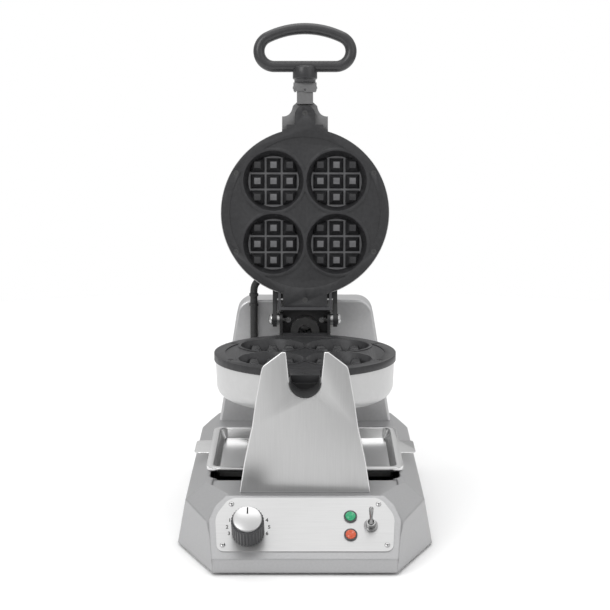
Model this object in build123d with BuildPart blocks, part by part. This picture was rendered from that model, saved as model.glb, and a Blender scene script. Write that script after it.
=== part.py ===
from build123d import *
from math import atan, atan2, cos, degrees, radians, sin
import os

os.makedirs("parts", exist_ok=True)

# Rotary mini belgian waffle maker, lid open.
# X to the right, Y to the back, Z up, millimetres, origin on the table under the middle.

# Heights and reaches, from the middle of the plates
axis_height = 183.0
foot_stand = 3.0
deck_below_axis = 117.0
rear_reach = 212.0
lid_open_angle = 99.0

# Waffle plates
plate_dia = 202.0
lid_plate_dia = 197.0
flange_thick = 7.7
plate_depth = 18.0
plate_body_dia = 182.0
cavity_dia = 71.0
cavity_floor_dia = 60.0
cavity_depth = 15.0
cavity_pitch = 74.2
stud_pitch = 19.0
stud_base = 16.7
stud_top = 7.4
stud_height = 10.5
land_width = 3.5
relief_dia = 177.4
relief_depth = 0.9
screw_dia = 3.2
screw_head_dia = 6.4
screw_head_depth = 1.8
screw_sink = 0.4
screw_slot = 0.8
screw_length = 13.4
boss_dia = 10.0
boss_depth = 14.0
parting_gap = 0.4
fit = 0.05

# Casings of the two halves
casing_top_dia = 198.8
rim_screw_angle = 29.75
rim_screw_x = (casing_top_dia / 2 - 6.1) * cos(radians(rim_screw_angle))
rim_screw_y = (casing_top_dia / 2 - 6.1) * sin(radians(rim_screw_angle))
casing_side_dia = 195.2
casing_depth = 49.0
casing_corner = 14.0
casing_wall = 2.0

# Hinge between the halves
hinge_back = 125.9
hinge_up = 13.5
hinge_pin_dia = 8.0
eye_radius = 9.0
cheek_radius = 9.5
cheek_inner = 26.4
cheek_thick = 3.5
arm_inner = 33.3
arm_thick = 4.8
bolt_head_dia = 13.0
bolt_head_height = 4.6
frame_bar = 3.0
frame_inner = 28.5
rear_tab_half = 26.0
rear_tab_reach = 111.0
tab_screw_y = 103.0

# Front tab, wings and strip of the lid
tab_half = 12.1
tab_reach = 126.0
tab_screw_reach = 116.7
tab_step_half = 21.5
tab_step_reach = 103.0
tab_foot_half = 27.0
tab_foot_reach = 97.3
wing_half = 27.0
wing_reach = 113.3
wing_neck_half = 14.4
wing_neck_reach = 125.5
sheet_thick = 3.0
strip_half = 9.5
strip_thick = 5.8

# Handle, its socket and fold pin
fold_reach = 146.0
socket_half = 13.6
socket_front = fold_reach + 5.7
socket_back = fold_reach - 5.5
socket_height = 10.0
socket_wall = 2.1
socket_corner = 3.5
fold_pin_dia = 3.0
collar_dia = 28.7
collar_start = 156.0
neck_dia = 25.0
bar_dia = 13.3
loop_half = 54.0
loop_near = 170.9
loop_far = 215.2
loop_corner = 18.0

# Turning shaft and its bearing
shaft_dia = 34.0
shaft_bore = 25.0
shaft_start = 118.0
shaft_end = 184.0
bush_wall = 6.0
bush_flange_dia = 58.0
bush_flange_thick = 3.0
bush_length = 24.0
running_fit = 0.05
yoke_plate_start = 134.0
yoke_plate_thick = 6.0

# Front trough, support and its notch
trough_dia = 32.0
trough_wall = 1.2
trough_start = 124.3
trough_end = 162.0
notch_radius = 16.4
notch_mouth_half = 20.2
support_face = 158.0
support_thick = 3.0
support_horn_height = 31.2
support_shoulder_half = 44.0
support_shoulder_height = 16.0
support_foot_half = 67.7
support_return_depth = 30.0
liner_thick = 2.0

# Rear tower
tower_face = 154.0
tower_depth = 38.0
tower_top = 32.0
tower_top_half = 79.0
tower_foot_half = 103.5
tower_corner = 20.0
tower_wall = 2.5
cover_thick = 2.0
lug_thick = 6.0
lug_height = 6.5
stop_pin_dia = 4.0

# Base
base_half = 134.5
base_front_half = 93.2
base_front = 227.0
base_rear = 198.0
base_corner_y = 128.0
base_corner_round = 42.0
base_wall = 3.0
wall_top_half = 125.8
wall_top_corner_y = 130.5
bevel_drop = 15.0
deck_half = 105.5
deck_corner_y = 117.0
deck_front_half = 81.7
deck_front_corner_y = 160.0
panel_top_y = 172.0
panel_slope = 42.5
panel_proud = 2.0
floor_thick = 1.5
foot_dia = 18.0
foot_stem_dia = 6.0
floor_boss_dia = 10.0

# Tray and its well
tray_half = 107.0
tray_front = 80.0
tray_back = 107.0
tray_corner = 16.0
tray_rim = 7.5
tray_lip = 4.7
tray_depth = 13.0
tray_taper = 24.0
tray_sheet = 1.2
ear_reach = 124.0
ear_length = 56.0
well_half = 102.0
well_front = 106.0
well_back = 102.0
well_corner = 13.0
well_depth = 22.0
ledge_front = 128.0
ledge_half = 98.0
ledge_depth = 1.5
seat_gap = 0.3

# Controls, on the sloping panel, measured down from its top edge
control_plate_thick = 1.0
knob_x = -57.6
knob_down = 44.0
knob_dia = 33.4
knob_height = 23.6
knob_gap = 0.4
knob_cap_dia = 29.0
knob_cap_height = 3.4
knob_ribs = 32
spindle_dia = 6.0
lamp_x = 46.2
lamp_downs = (26.0, 47.2)
lamp_dia = 10.9
bezel_wall = 1.3
toggle_x = 66.7
toggle_down = 36.6
toggle_nut_dia = 14.2
toggle_tilt = 22.0
toggle_length = 19.0

# Heaters, sensor and heater lead
heater_ring_dia = 124.0
heater_dia = 7.0
sensor_dia = 10.0
sensor_height = 8.0
lead_dia = 8.6
lead_x = -61.0
lead_y = 146.5
tie_width = 3.0
tie_wall = 1.2

# Small fittings of the controls and the rear
thermostat_neck_dia = 10.0
spindle_in_knob = 18.0
rib_depth = 0.8
pointer_out = 8.5
pointer_length = 8.0
pointer_width = 1.6
pointer_depth = 0.4
bezel_height = 1.6
lamp_sleeve = 0.6
lamp_sunk = 9.0
lamp_proud = 3.0
toggle_neck_dia = 9.0
toggle_neck_height = 8.0
toggle_ball_dia = 6.0
toggle_ball_height = 7.0
toggle_pocket_depth = 4.3
toggle_nut_height = 2.4
gland_x = -70.0
gland_height = 36.0
gland_dia = 16.0
gland_bore = 9.0
well_sheet = 1.2
tower_edge_round = 3.0
lug_out = 23.5
stop_pin_y = 182.0
cable_bore = 16.0
cheek_front = 101.0
yoke_screw_spots = [(-20.0, 11.4), (20.0, 11.4)]
lower_tab_half = 15.9
lower_tab_reach = 124.0
lower_tab_screw = 112.0
trough_arm_start = 101.0
trough_arm_half = 12.0
lead_low = -28.0
lead_bend = 18.0
bracket_back = 101.5
bracket_top = 36.0
bracket_screw_spots = [(-20.0, 20.0), (20.0, 20.0)]
casing_draft = 1.1
frame_back = 115.0
frame_low = 1.0
riser_reach = fold_reach - 16
latch_reach = fold_reach - 2.8
latch_dia = 2.4
fold_pin_half = 14.4

# Values that follow from those above
slope_run = cos(radians(panel_slope))
slope_fall = sin(radians(panel_slope))
panel_top = panel_proud + control_plate_thick
knob_top = panel_top + knob_gap + knob_height + knob_cap_height
knob_low_edge = knob_down + knob_cap_dia / 2
front_reach = panel_top_y + knob_low_edge * slope_run + knob_top * slope_fall
plate_y = (front_reach - rear_reach) / 2
deck_z = axis_height - deck_below_axis
bevel_z = deck_z - bevel_drop
floor_top = foot_stand + floor_thick
casing_rim = flange_thick + 0.2
lid_rim = casing_rim + parting_gap
lid_back = flange_thick + parting_gap
middle = Plane(origin=(0, plate_y, axis_height))
lid_middle = middle.offset(parting_gap / 2)
hinge_axis = Axis((0, plate_y + hinge_back, axis_height + hinge_up), (1, 0, 0))
hinge_pin_at = Pos(0, plate_y + hinge_back, axis_height + hinge_up)
panel = Plane(
    origin=(0, plate_y - panel_top_y, deck_z),
    x_dir=(1, 0, 0),
    z_dir=(0, -slope_fall, slope_run),
)


def upright(y):
    """A plane across the machine, facing the front, at a distance behind the plates' middle."""
    return Plane(origin=(0, plate_y + y, axis_height), x_dir=(1, 0, 0), z_dir=(0, -1, 0))


def level(h):
    """A level plane at a height over the turning axis."""
    return middle.offset(h)


def opened(piece):
    """A lid piece, drawn closed, swung back about the hinge bolts to where the lid rests."""
    return piece.rotate(hinge_axis, -lid_open_angle)


def upper(piece):
    """The lid's copy of a lower piece: turned over about the parting plane, then swung open."""
    return opened(piece.mirror(lid_middle))


def through(a, b, c):
    """The plane through three points of the base, facing out of it."""
    return Plane(origin=a, x_dir=b - a, z_dir=(b - a).cross(c - a))


def side_on(x):
    """A plane along the machine, facing right, at a distance beside its middle."""
    return Plane(origin=(x, plate_y, axis_height), x_dir=(0, 1, 0), z_dir=(1, 0, 0))


def base_form(inset):
    """The base's faceted block with every face moved in by an inset; the right half is mirrored."""
    foot = foot_stand - axis_height
    side_foot = Vector(base_half, plate_y - base_corner_y, foot_stand)
    front_foot = Vector(base_front_half, plate_y - base_front, foot_stand)
    wall_corner = Vector(wall_top_half, plate_y - wall_top_corner_y, bevel_z)
    deck_corner = Vector(deck_half, plate_y - deck_corner_y, deck_z)
    deck_front = Vector(deck_front_half, plate_y - deck_front_corner_y, deck_z)
    along = Vector(0, 1, 0)
    facets = (
        through(side_foot, side_foot + along, Vector(wall_top_half, side_foot.Y, bevel_z)),
        through(wall_corner, wall_corner + along, Vector(deck_half, wall_corner.Y, deck_z)),
        through(side_foot, wall_corner, front_foot),
        through(wall_corner, deck_corner, deck_front),
        panel,
    )
    with BuildPart() as form:
        with BuildSketch(Plane.XY.offset(foot_stand)):
            with Locations(((base_half - inset) / 2, plate_y + (base_rear - base_front) / 2)):
                Rectangle(base_half - inset, base_rear + base_front - 2 * inset)
        extrude(amount=deck_z - foot_stand - inset)
        rear_corner = form.edges().filter_by(Axis.Z).group_by(Axis.X)[-1].sort_by(Axis.Y)[-1]
        fillet(rear_corner, base_corner_round - inset)
        for facet in facets:
            split(bisect_by=facet.offset(-inset), keep=Keep.BOTTOM)
        mirror(about=Plane.YZ)
    return form.part


def casing_form():
    """One round steel casing under the middle plane, with bosses for the four rim screws."""
    top = casing_top_dia / 2
    side = casing_side_dia / 2
    with BuildPart() as casing:
        for inset, mode in ((0, Mode.ADD), (casing_wall, Mode.SUBTRACT)):
            with BuildSketch(upright(0)) as profile:
                with BuildLine():
                    Polyline(
                        (0, inset - casing_depth),
                        (side - inset, inset - casing_depth),
                        (top - inset, -casing_rim),
                        (0, -casing_rim),
                        close=True,
                    )
                make_face()
                low_outer = profile.vertices().group_by(Axis.Y)[0].sort_by(Axis.X)[-1]
                fillet(low_outer, casing_corner - inset)
            revolve(axis=Axis((0, plate_y, 0), (0, 0, 1)), mode=mode)
        with BuildSketch(level(-casing_rim)):
            with GridLocations(2 * rim_screw_x, 2 * rim_screw_y, 2, 2):
                Circle(boss_dia / 2)
            Circle(top - casing_wall / 2, mode=Mode.INTERSECT)
        extrude(amount=-boss_depth)
        with BuildSketch(level(-casing_rim)):
            with GridLocations(2 * rim_screw_x, 2 * rim_screw_y, 2, 2):
                Circle(screw_dia / 2 + fit)
        extrude(amount=-boss_depth, mode=Mode.SUBTRACT)
    return casing.part


def plate_form(dia, front_tab, tab_screw):
    """One cast waffle plate, face up at the middle plane, with four cavities full of blunt studs."""
    stud_draft = degrees(atan((stud_base - stud_top) / 2 / stud_height))
    with BuildPart() as pocket:
        with BuildSketch(Plane.XY):
            Circle(cavity_dia / 2)
        with BuildSketch(Plane.XY.offset(-cavity_depth)):
            Circle(cavity_floor_dia / 2)
        loft()
        with BuildSketch(Plane.XY.offset(-cavity_depth)):
            with GridLocations(stud_pitch, stud_pitch, 3, 3):
                Rectangle(stud_base, stud_base)
        extrude(amount=stud_height, taper=stud_draft, mode=Mode.SUBTRACT)
    with BuildPart() as plate:
        with BuildSketch(level(0)):
            Circle(dia / 2)
            add(front_tab)
            with Locations((0, rear_tab_reach / 2)):
                Rectangle(2 * rear_tab_half, rear_tab_reach)
        extrude(amount=-flange_thick)
        with BuildSketch(level(-flange_thick)):
            Circle(plate_body_dia / 2)
            with GridLocations(2 * rim_screw_x, 2 * rim_screw_y, 2, 2):
                Circle(boss_dia / 2 + 1, mode=Mode.SUBTRACT)
        extrude(amount=flange_thick - plate_depth)
        with BuildSketch(level(0)):
            Circle(relief_dia / 2)
            with GridLocations(cavity_pitch, cavity_pitch, 2, 2):
                Circle(cavity_dia / 2 + land_width, mode=Mode.SUBTRACT)
        extrude(amount=-relief_depth, mode=Mode.SUBTRACT)
        for x in (-cavity_pitch / 2, cavity_pitch / 2):
            for y in (-cavity_pitch / 2, cavity_pitch / 2):
                with Locations((x, plate_y + y, axis_height)):
                    add(pocket.part, mode=Mode.SUBTRACT)
        with BuildSketch(level(0)):
            with Locations(*screw_spots(tab_screw)):
                Circle(screw_dia / 2 + fit)
        extrude(amount=-flange_thick, mode=Mode.SUBTRACT)
        with BuildSketch(level(0)):
            with Locations(*screw_spots(tab_screw)):
                Circle(screw_head_dia / 2 + fit)
        extrude(amount=-screw_head_depth, mode=Mode.SUBTRACT)
    return plate.part


def screw_spots(tab_screw):
    """Where a plate's screws stand: four in its rim and one in each tab."""
    rim = [(x, y) for x in (-rim_screw_x, rim_screw_x) for y in (-rim_screw_y, rim_screw_y)]
    return rim + [(0, -tab_screw), (0, tab_screw_y)]


def plate_screws_form(tab_screw):
    """The six sunk screws of one plate, with a cross slot in each head."""
    with BuildPart() as screws:
        with BuildSketch(level(-screw_sink)):
            with Locations(*screw_spots(tab_screw)):
                Circle(screw_head_dia / 2)
        extrude(amount=screw_sink - screw_head_depth + fit)
        with BuildSketch(level(-screw_sink)):
            with Locations(*screw_spots(tab_screw)):
                Circle(screw_dia / 2)
        extrude(amount=-screw_length)
        with BuildSketch(level(-screw_sink)):
            with Locations(*screw_spots(tab_screw)):
                Rectangle(screw_slot, screw_head_dia * 0.6)
                Rectangle(screw_head_dia * 0.6, screw_slot)
        extrude(amount=-screw_slot, mode=Mode.SUBTRACT)
    return screws.part


def heater_form():
    """One ring heater under a plate, open at the front where its ends turn down."""
    ring_z = -plate_depth - heater_dia / 2 - fit
    with BuildPart() as heater:
        with BuildLine(level(ring_z)) as ring:
            CenterArc((0, 0), heater_ring_dia / 2, -80, 340)
        with BuildSketch(Plane(origin=ring.line @ 0, z_dir=ring.line % 0)):
            Circle(heater_dia / 2)
        sweep()
    return heater.part


def sensor_form():
    """The round temperature sensor under the middle of a plate."""
    with BuildPart() as sensor:
        with BuildSketch(level(-plate_depth - fit)):
            Circle(sensor_dia / 2)
        extrude(amount=-sensor_height)
    return sensor.part


def hub_of(dia, bore, start, end):
    """A ring about the turning axis, from one distance behind the middle to another."""
    with BuildPart() as ring:
        with BuildSketch(upright(end)):
            Circle(dia / 2)
            if bore > 0:
                Circle(bore / 2, mode=Mode.SUBTRACT)
        extrude(amount=end - start)
    return ring.part


def on_panel(spots, height):
    """Places on the sloping panel, given across and down, at a height over the panel."""
    return Locations(*[panel.offset(height) * Pos(x, -down) for x, down in spots])


def notch_outline(grow):
    """The round-bottomed notch about the turning axis, opening upward, grown by a margin."""
    low = notch_radius + grow
    mouth = notch_mouth_half + grow
    with BuildSketch() as outline:
        Circle(low)
        with BuildLine():
            Polyline(
                (-low, 0),
                (low, 0),
                (mouth, support_horn_height + 5),
                (-mouth, support_horn_height + 5),
                close=True,
            )
        make_face()
    return outline.sketch


floor_screw_spots = [(x, y) for x in (-122, 122) for y in (-80, 100)]
floor_screw_spots += [(x, y) for x, y in ((-20, -212), (20, -212), (-40, 186), (40, 186))]
foot_spots = [(x, y) for x, y in ((-84, -196), (84, -196), (-106, 158), (106, 158))]
support_screw_spots = [(x, y) for x in (-48, 48) for y in (-146, -136)]
tower_screw_spots = [(x, tower_face + tower_depth / 2) for x in (-84, 84)]
plate_screw_spots = [(-75.2, 11), (75.2, 11), (-82.9, 58.8), (82.9, 58.8)]
lamp_spots = [(lamp_x, down) for down in lamp_downs]
control_outline = [(77.5, 3.5), (91.5, 25), (84, 66), (-84, 66), (-91.5, 25), (-77.5, 3.5)]
panel_outline = [(81.5, 0), (92.3, 12), (98.4, 28.7), (94, 74.5)]
panel_outline += [(-x, down) for x, down in reversed(panel_outline)]
cover_screw_spots = [(-66, 18), (66, 18), (-91, -104), (91, -104)]

# Base housing: cast shell with screw bosses, open below
with BuildPart() as floor_bosses:
    with BuildSketch(Plane.XY.offset(floor_top)):
        with Locations(*[(x, plate_y + y) for x, y in floor_screw_spots]):
            Circle(floor_boss_dia / 2)
    extrude(amount=deck_z - floor_top)
    add(base_form(base_wall / 2), mode=Mode.INTERSECT)

with BuildPart() as base_housing:
    add(base_form(0))
    with BuildSketch(panel.offset(panel_proud)):
        with BuildLine():
            Polyline(*[(x, -down) for x, down in panel_outline], close=True)
        make_face()
    extrude(amount=-10)
    with BuildSketch(Plane.XY.offset(foot_stand)):
        with Locations((0, plate_y - base_front + 3)):
            Rectangle(2 * base_front_half, 9)
    extrude(amount=14)
    add(base_form(base_wall), mode=Mode.SUBTRACT)
    add(floor_bosses.part)
    with BuildSketch(Plane.XY.offset(deck_z)):
        with Locations((0, plate_y + (well_back - well_front) / 2)):
            RectangleRounded(2 * well_half, well_front + well_back, well_corner)
        with Locations(*[(x, plate_y + y) for x, y in support_screw_spots]):
            Circle(screw_dia / 2 + fit)
        with Locations(*[(x, plate_y + y) for x, y in tower_screw_spots]):
            Circle(screw_dia / 2 + fit)
    extrude(amount=-base_wall - 1, mode=Mode.SUBTRACT)
    with BuildSketch(Plane.XY.offset(deck_z)):
        with Locations((0, plate_y - (ledge_front + well_front) / 2)):
            RectangleRounded(2 * ledge_half, ledge_front - well_front + 2, 2)
    extrude(amount=-ledge_depth, mode=Mode.SUBTRACT)
    with BuildSketch(Plane.XY.offset(floor_top)):
        with Locations(*[(x, plate_y + y) for x, y in floor_screw_spots]):
            Circle(screw_dia / 2 + fit)
    extrude(amount=12, mode=Mode.SUBTRACT)
    with on_panel([(knob_x, knob_down)], panel_proud):
        Hole(thermostat_neck_dia / 2 + fit, depth=12)
    with on_panel(lamp_spots, panel_proud):
        Hole(lamp_dia / 2 + lamp_sleeve + fit, depth=12)
    with on_panel([(toggle_x, toggle_down)], panel_proud):
        Hole(toggle_neck_dia / 2 + fit, depth=12)
    with on_panel(plate_screw_spots, panel_proud):
        Hole(screw_dia / 2 + fit, depth=5)
    with BuildSketch(upright(base_rear)):
        with Locations((gland_x, gland_height - axis_height)):
            Circle(gland_dia / 2 + fit)
    extrude(amount=2 * base_wall, mode=Mode.SUBTRACT)
base_housing.part.label = "base_housing"
export_step(base_housing.part, "parts/base_housing.step")

# Pressed pan under the tray, hung below the deck
with BuildPart() as tray_well:
    with BuildSketch(Plane.XY.offset(deck_z - base_wall)):
        with Locations((0, plate_y + (well_back - well_front) / 2)):
            RectangleRounded(2 * well_half + 4, well_front + well_back + 4, well_corner + 2)
    extrude(amount=-well_sheet)
    with BuildSketch(Plane.XY.offset(deck_z - base_wall)):
        with Locations((0, plate_y + (well_back - well_front) / 2)):
            RectangleRounded(2 * well_half + 2, well_front + well_back + 2, well_corner + 1)
    extrude(amount=base_wall - well_depth)
    with BuildSketch(Plane.XY.offset(deck_z - base_wall)):
        with Locations((0, plate_y + (well_back - well_front) / 2)):
            RectangleRounded(
                2 * (well_half - well_sheet) + 2,
                well_front + well_back + 2 - 2 * well_sheet,
                well_corner + 1 - well_sheet,
            )
    extrude(amount=base_wall + well_sheet - well_depth, mode=Mode.SUBTRACT)
tray_well.part.label = "tray_well"
export_step(tray_well.part, "parts/tray_well.step")

# Floor of the base, set inside the shell's lower edge
with BuildPart() as bottom_plate:
    add(base_form(base_wall + 0.1))
    with BuildSketch(Plane.XY.offset(floor_top)):
        with Locations((0, plate_y)):
            Rectangle(4 * base_half, 4 * base_front)
    extrude(amount=2 * axis_height, mode=Mode.SUBTRACT)
    with BuildSketch(Plane.XY.offset(floor_top)):
        with Locations(*[(x, plate_y + y) for x, y in floor_screw_spots]):
            Circle(screw_dia / 2 + fit)
        with Locations(*[(x, plate_y + y) for x, y in foot_spots]):
            Circle(foot_stem_dia / 2 + fit)
    extrude(amount=-2 * floor_thick, mode=Mode.SUBTRACT)
bottom_plate.part.label = "bottom_plate"
export_step(bottom_plate.part, "parts/bottom_plate.step")

# Four rubber feet, held by stems through the floor
with BuildPart() as rubber_feet:
    with BuildSketch():
        with Locations(*[(x, plate_y + y) for x, y in foot_spots]):
            Circle(foot_dia / 2)
    extrude(amount=foot_stand)
    with BuildSketch(Plane.XY.offset(foot_stand)):
        with Locations(*[(x, plate_y + y) for x, y in foot_spots]):
            Circle(foot_stem_dia / 2)
    extrude(amount=floor_thick)
    with BuildSketch(Plane.XY.offset(floor_top)):
        with Locations(*[(x, plate_y + y) for x, y in foot_spots]):
            Circle(foot_stem_dia / 2 + 1)
    extrude(amount=3, taper=20)
rubber_feet.part.label = "rubber_feet"
export_step(rubber_feet.part, "parts/rubber_feet.step")

# Screws up through the floor into the bosses
with BuildPart() as base_screws:
    with BuildSketch(Plane.XY.offset(foot_stand)):
        with Locations(*[(x, plate_y + y) for x, y in floor_screw_spots]):
            Circle(screw_head_dia / 2)
    extrude(amount=-screw_head_depth)
    with BuildSketch(Plane.XY.offset(foot_stand)):
        with Locations(*[(x, plate_y + y) for x, y in floor_screw_spots]):
            Circle(screw_dia / 2)
    extrude(amount=10)
base_screws.part.label = "base_screws"
export_step(base_screws.part, "parts/base_screws.step")

# Brushed control plate on the sloping panel
with BuildPart() as control_plate:
    with BuildSketch(panel.offset(panel_proud)):
        with BuildLine():
            Polyline(*[(x, -down) for x, down in control_outline], close=True)
        make_face()
        with Locations((knob_x, -knob_down)):
            Circle(thermostat_neck_dia / 2 + fit, mode=Mode.SUBTRACT)
        with Locations(*[(x, -down) for x, down in lamp_spots]):
            Circle(lamp_dia / 2 + lamp_sleeve + fit, mode=Mode.SUBTRACT)
        with Locations((toggle_x, -toggle_down)):
            Circle(toggle_neck_dia / 2 + fit, mode=Mode.SUBTRACT)
        with Locations(*[(x, -down) for x, down in plate_screw_spots]):
            Circle(screw_dia / 2 + fit, mode=Mode.SUBTRACT)
    extrude(amount=control_plate_thick)
control_plate.part.label = "control_plate"
export_step(control_plate.part, "parts/control_plate.step")

# Four domed screws of the control plate
with BuildPart() as control_plate_screws:
    with on_panel(plate_screw_spots, panel_top):
        Cylinder(screw_head_dia / 2 - 0.4, 1.2, align=(Align.CENTER, Align.CENTER, Align.MIN))
    with on_panel(plate_screw_spots, panel_top):
        Cylinder(screw_dia / 2, 4.5, align=(Align.CENTER, Align.CENTER, Align.MAX))
control_plate_screws.part.label = "control_plate_screws"
export_step(control_plate_screws.part, "parts/control_plate_screws.step")

# Thermostat behind the panel, with the neck its spindle turns in
with BuildPart() as thermostat:
    with on_panel([(knob_x, knob_down)], -base_wall):
        Box(36, 36, 18, align=(Align.CENTER, Align.CENTER, Align.MAX))
    with on_panel([(knob_x, knob_down)], -base_wall):
        Cylinder(thermostat_neck_dia / 2, base_wall + panel_top,
                 align=(Align.CENTER, Align.CENTER, Align.MIN))
    with on_panel([(knob_x, knob_down)], panel_top):
        Hole(spindle_dia / 2 + running_fit, depth=18)
thermostat.part.label = "thermostat"
export_step(thermostat.part, "parts/thermostat.step")

# Spindle of the thermostat, turning with the knob
with BuildPart() as thermostat_spindle:
    with on_panel([(knob_x, knob_down)], panel_top + knob_gap + spindle_in_knob):
        Cylinder(spindle_dia / 2, spindle_in_knob + knob_gap + 16,
                 align=(Align.CENTER, Align.CENTER, Align.MAX))
thermostat_spindle.part.label = "thermostat_spindle"
export_step(thermostat_spindle.part, "parts/thermostat_spindle.step")

# Ribbed knob skirt, hollow over the thermostat's neck
with BuildPart() as knob:
    with on_panel([(knob_x, knob_down)], panel_top + knob_gap):
        Cylinder(knob_dia / 2, knob_height, align=(Align.CENTER, Align.CENTER, Align.MIN))
    fillet(knob.edges().filter_by(GeomType.CIRCLE).sort_by(Axis.Z)[-1], 1.2)
    rib_ring = knob_dia / 2 + rib_depth
    with on_panel([(knob_x, knob_down)], panel_top + knob_gap):
        with PolarLocations(rib_ring, knob_ribs):
            Cylinder(2 * rib_depth, knob_height,
                     align=(Align.CENTER, Align.CENTER, Align.MIN), mode=Mode.SUBTRACT)
    with on_panel([(knob_x, knob_down)], panel_top + knob_gap):
        Cylinder(knob_dia / 2 - 5, spindle_in_knob - 8,
                 align=(Align.CENTER, Align.CENTER, Align.MIN), mode=Mode.SUBTRACT)
    with on_panel([(knob_x, knob_down)], panel_top + knob_gap):
        Cylinder(spindle_dia / 2, spindle_in_knob,
                 align=(Align.CENTER, Align.CENTER, Align.MIN), mode=Mode.SUBTRACT)
knob.part.label = "knob"
export_step(knob.part, "parts/knob.step")

# Bright cap on the knob, with the groove of its pointer
with BuildPart() as knob_cap:
    with on_panel([(knob_x, knob_down)], panel_top + knob_gap + knob_height):
        Cylinder(knob_cap_dia / 2, knob_cap_height,
                 align=(Align.CENTER, Align.CENTER, Align.MIN))
    with on_panel([(knob_x, knob_down - pointer_out)], knob_top):
        Box(pointer_width, pointer_length, 2 * pointer_depth, mode=Mode.SUBTRACT)
knob_cap.part.label = "knob_cap"
export_step(knob_cap.part, "parts/knob_cap.step")

# Bezels of the two lamps
with BuildPart() as lamp_bezels:
    with on_panel(lamp_spots, panel_top):
        Cylinder(lamp_dia / 2 + bezel_wall, bezel_height,
                 align=(Align.CENTER, Align.CENTER, Align.MIN))
    with on_panel(lamp_spots, panel_top):
        Cylinder(lamp_dia / 2 + lamp_sleeve, lamp_sunk,
                 align=(Align.CENTER, Align.CENTER, Align.MAX))
    with on_panel(lamp_spots, panel_top + bezel_height):
        Hole(lamp_dia / 2, depth=bezel_height + lamp_sunk)
lamp_bezels.part.label = "lamp_bezels"
export_step(lamp_bezels.part, "parts/lamp_bezels.step")

# Green ready lamp, above
with BuildPart() as ready_lamp:
    with on_panel(lamp_spots[:1], panel_top - lamp_sunk):
        Cylinder(lamp_dia / 2, lamp_sunk + lamp_proud,
                 align=(Align.CENTER, Align.CENTER, Align.MIN))
    fillet(ready_lamp.edges().filter_by(GeomType.CIRCLE).sort_by(Axis.Z)[-1], 1.4)
ready_lamp.part.label = "ready_lamp"
export_step(ready_lamp.part, "parts/ready_lamp.step")

# Orange power lamp, below
with BuildPart() as power_lamp:
    with on_panel(lamp_spots[1:], panel_top - lamp_sunk):
        Cylinder(lamp_dia / 2, lamp_sunk + lamp_proud,
                 align=(Align.CENTER, Align.CENTER, Align.MIN))
    fillet(power_lamp.edges().filter_by(GeomType.CIRCLE).sort_by(Axis.Z)[-1], 1.4)
power_lamp.part.label = "power_lamp"
export_step(power_lamp.part, "parts/power_lamp.step")

# Toggle switch: body behind the panel and its threaded neck with the lever's pocket
with BuildPart() as toggle_body:
    with on_panel([(toggle_x, toggle_down)], -base_wall):
        Box(13, 26, 15, align=(Align.CENTER, Align.CENTER, Align.MAX))
    with on_panel([(toggle_x, toggle_down)], -base_wall):
        Cylinder(toggle_neck_dia / 2, base_wall + panel_top + toggle_neck_height,
                 align=(Align.CENTER, Align.CENTER, Align.MIN))
    with on_panel([(toggle_x, toggle_down)], panel_top + toggle_neck_height):
        Hole(toggle_ball_dia / 2 + 0.4, depth=toggle_pocket_depth)
toggle_body.part.label = "toggle_body"
export_step(toggle_body.part, "parts/toggle_body.step")

# Nut that holds the toggle switch
with BuildPart() as toggle_nut:
    with on_panel([(toggle_x, toggle_down)], panel_top):
        Cylinder(toggle_nut_dia / 2, toggle_nut_height,
                 align=(Align.CENTER, Align.CENTER, Align.MIN))
    with on_panel([(toggle_x, toggle_down)], panel_top + toggle_nut_height):
        Hole(toggle_neck_dia / 2 + fit, depth=toggle_nut_height)
toggle_nut.part.label = "toggle_nut"
export_step(toggle_nut.part, "parts/toggle_nut.step")

# Toggle lever, tilted up the slope
toggle_ball = panel.offset(panel_top + toggle_ball_height) * Pos(toggle_x, -toggle_down)
with BuildPart() as toggle_lever:
    with Locations(toggle_ball):
        Sphere(toggle_ball_dia / 2)
    with Locations(toggle_ball * Rot(-toggle_tilt, 0, 0)):
        Cone(1.5, 2.3, toggle_length - 2, align=(Align.CENTER, Align.CENTER, Align.MIN))
    with Locations(toggle_ball * Rot(-toggle_tilt, 0, 0) * Pos(0, 0, toggle_length - 2)):
        Sphere(2.3)
toggle_lever.part.label = "toggle_lever"
export_step(toggle_lever.part, "parts/toggle_lever.step")

# Buzzer on the floor of the base
with BuildPart() as buzzer:
    with BuildSketch(Plane.XY.offset(floor_top)):
        with Locations((60, plate_y + 150)):
            Circle(12)
    extrude(amount=10)
buzzer.part.label = "buzzer"
export_step(buzzer.part, "parts/buzzer.step")

# Terminal block on the floor of the base, near the mains gland
with BuildPart() as terminal_block:
    with BuildSketch(Plane.XY.offset(floor_top)):
        with Locations((gland_x, plate_y + 140)):
            Rectangle(40, 16)
    extrude(amount=14)
terminal_block.part.label = "terminal_block"
export_step(terminal_block.part, "parts/terminal_block.step")

# Gland of the mains lead, through the rear wall
with BuildPart() as cord_gland:
    with BuildSketch(upright(rear_reach)):
        with Locations((gland_x, gland_height - axis_height)):
            Circle(gland_dia / 2)
            Circle(gland_bore / 2, mode=Mode.SUBTRACT)
    extrude(amount=rear_reach - base_rear + 12)
    with BuildSketch(upright(base_rear + 6)):
        with Locations((gland_x, gland_height - axis_height)):
            Circle(gland_dia / 2 + 3)
            Circle(gland_bore / 2, mode=Mode.SUBTRACT)
    extrude(amount=6)
cord_gland.part.label = "cord_gland"
export_step(cord_gland.part, "parts/cord_gland.step")

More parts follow.
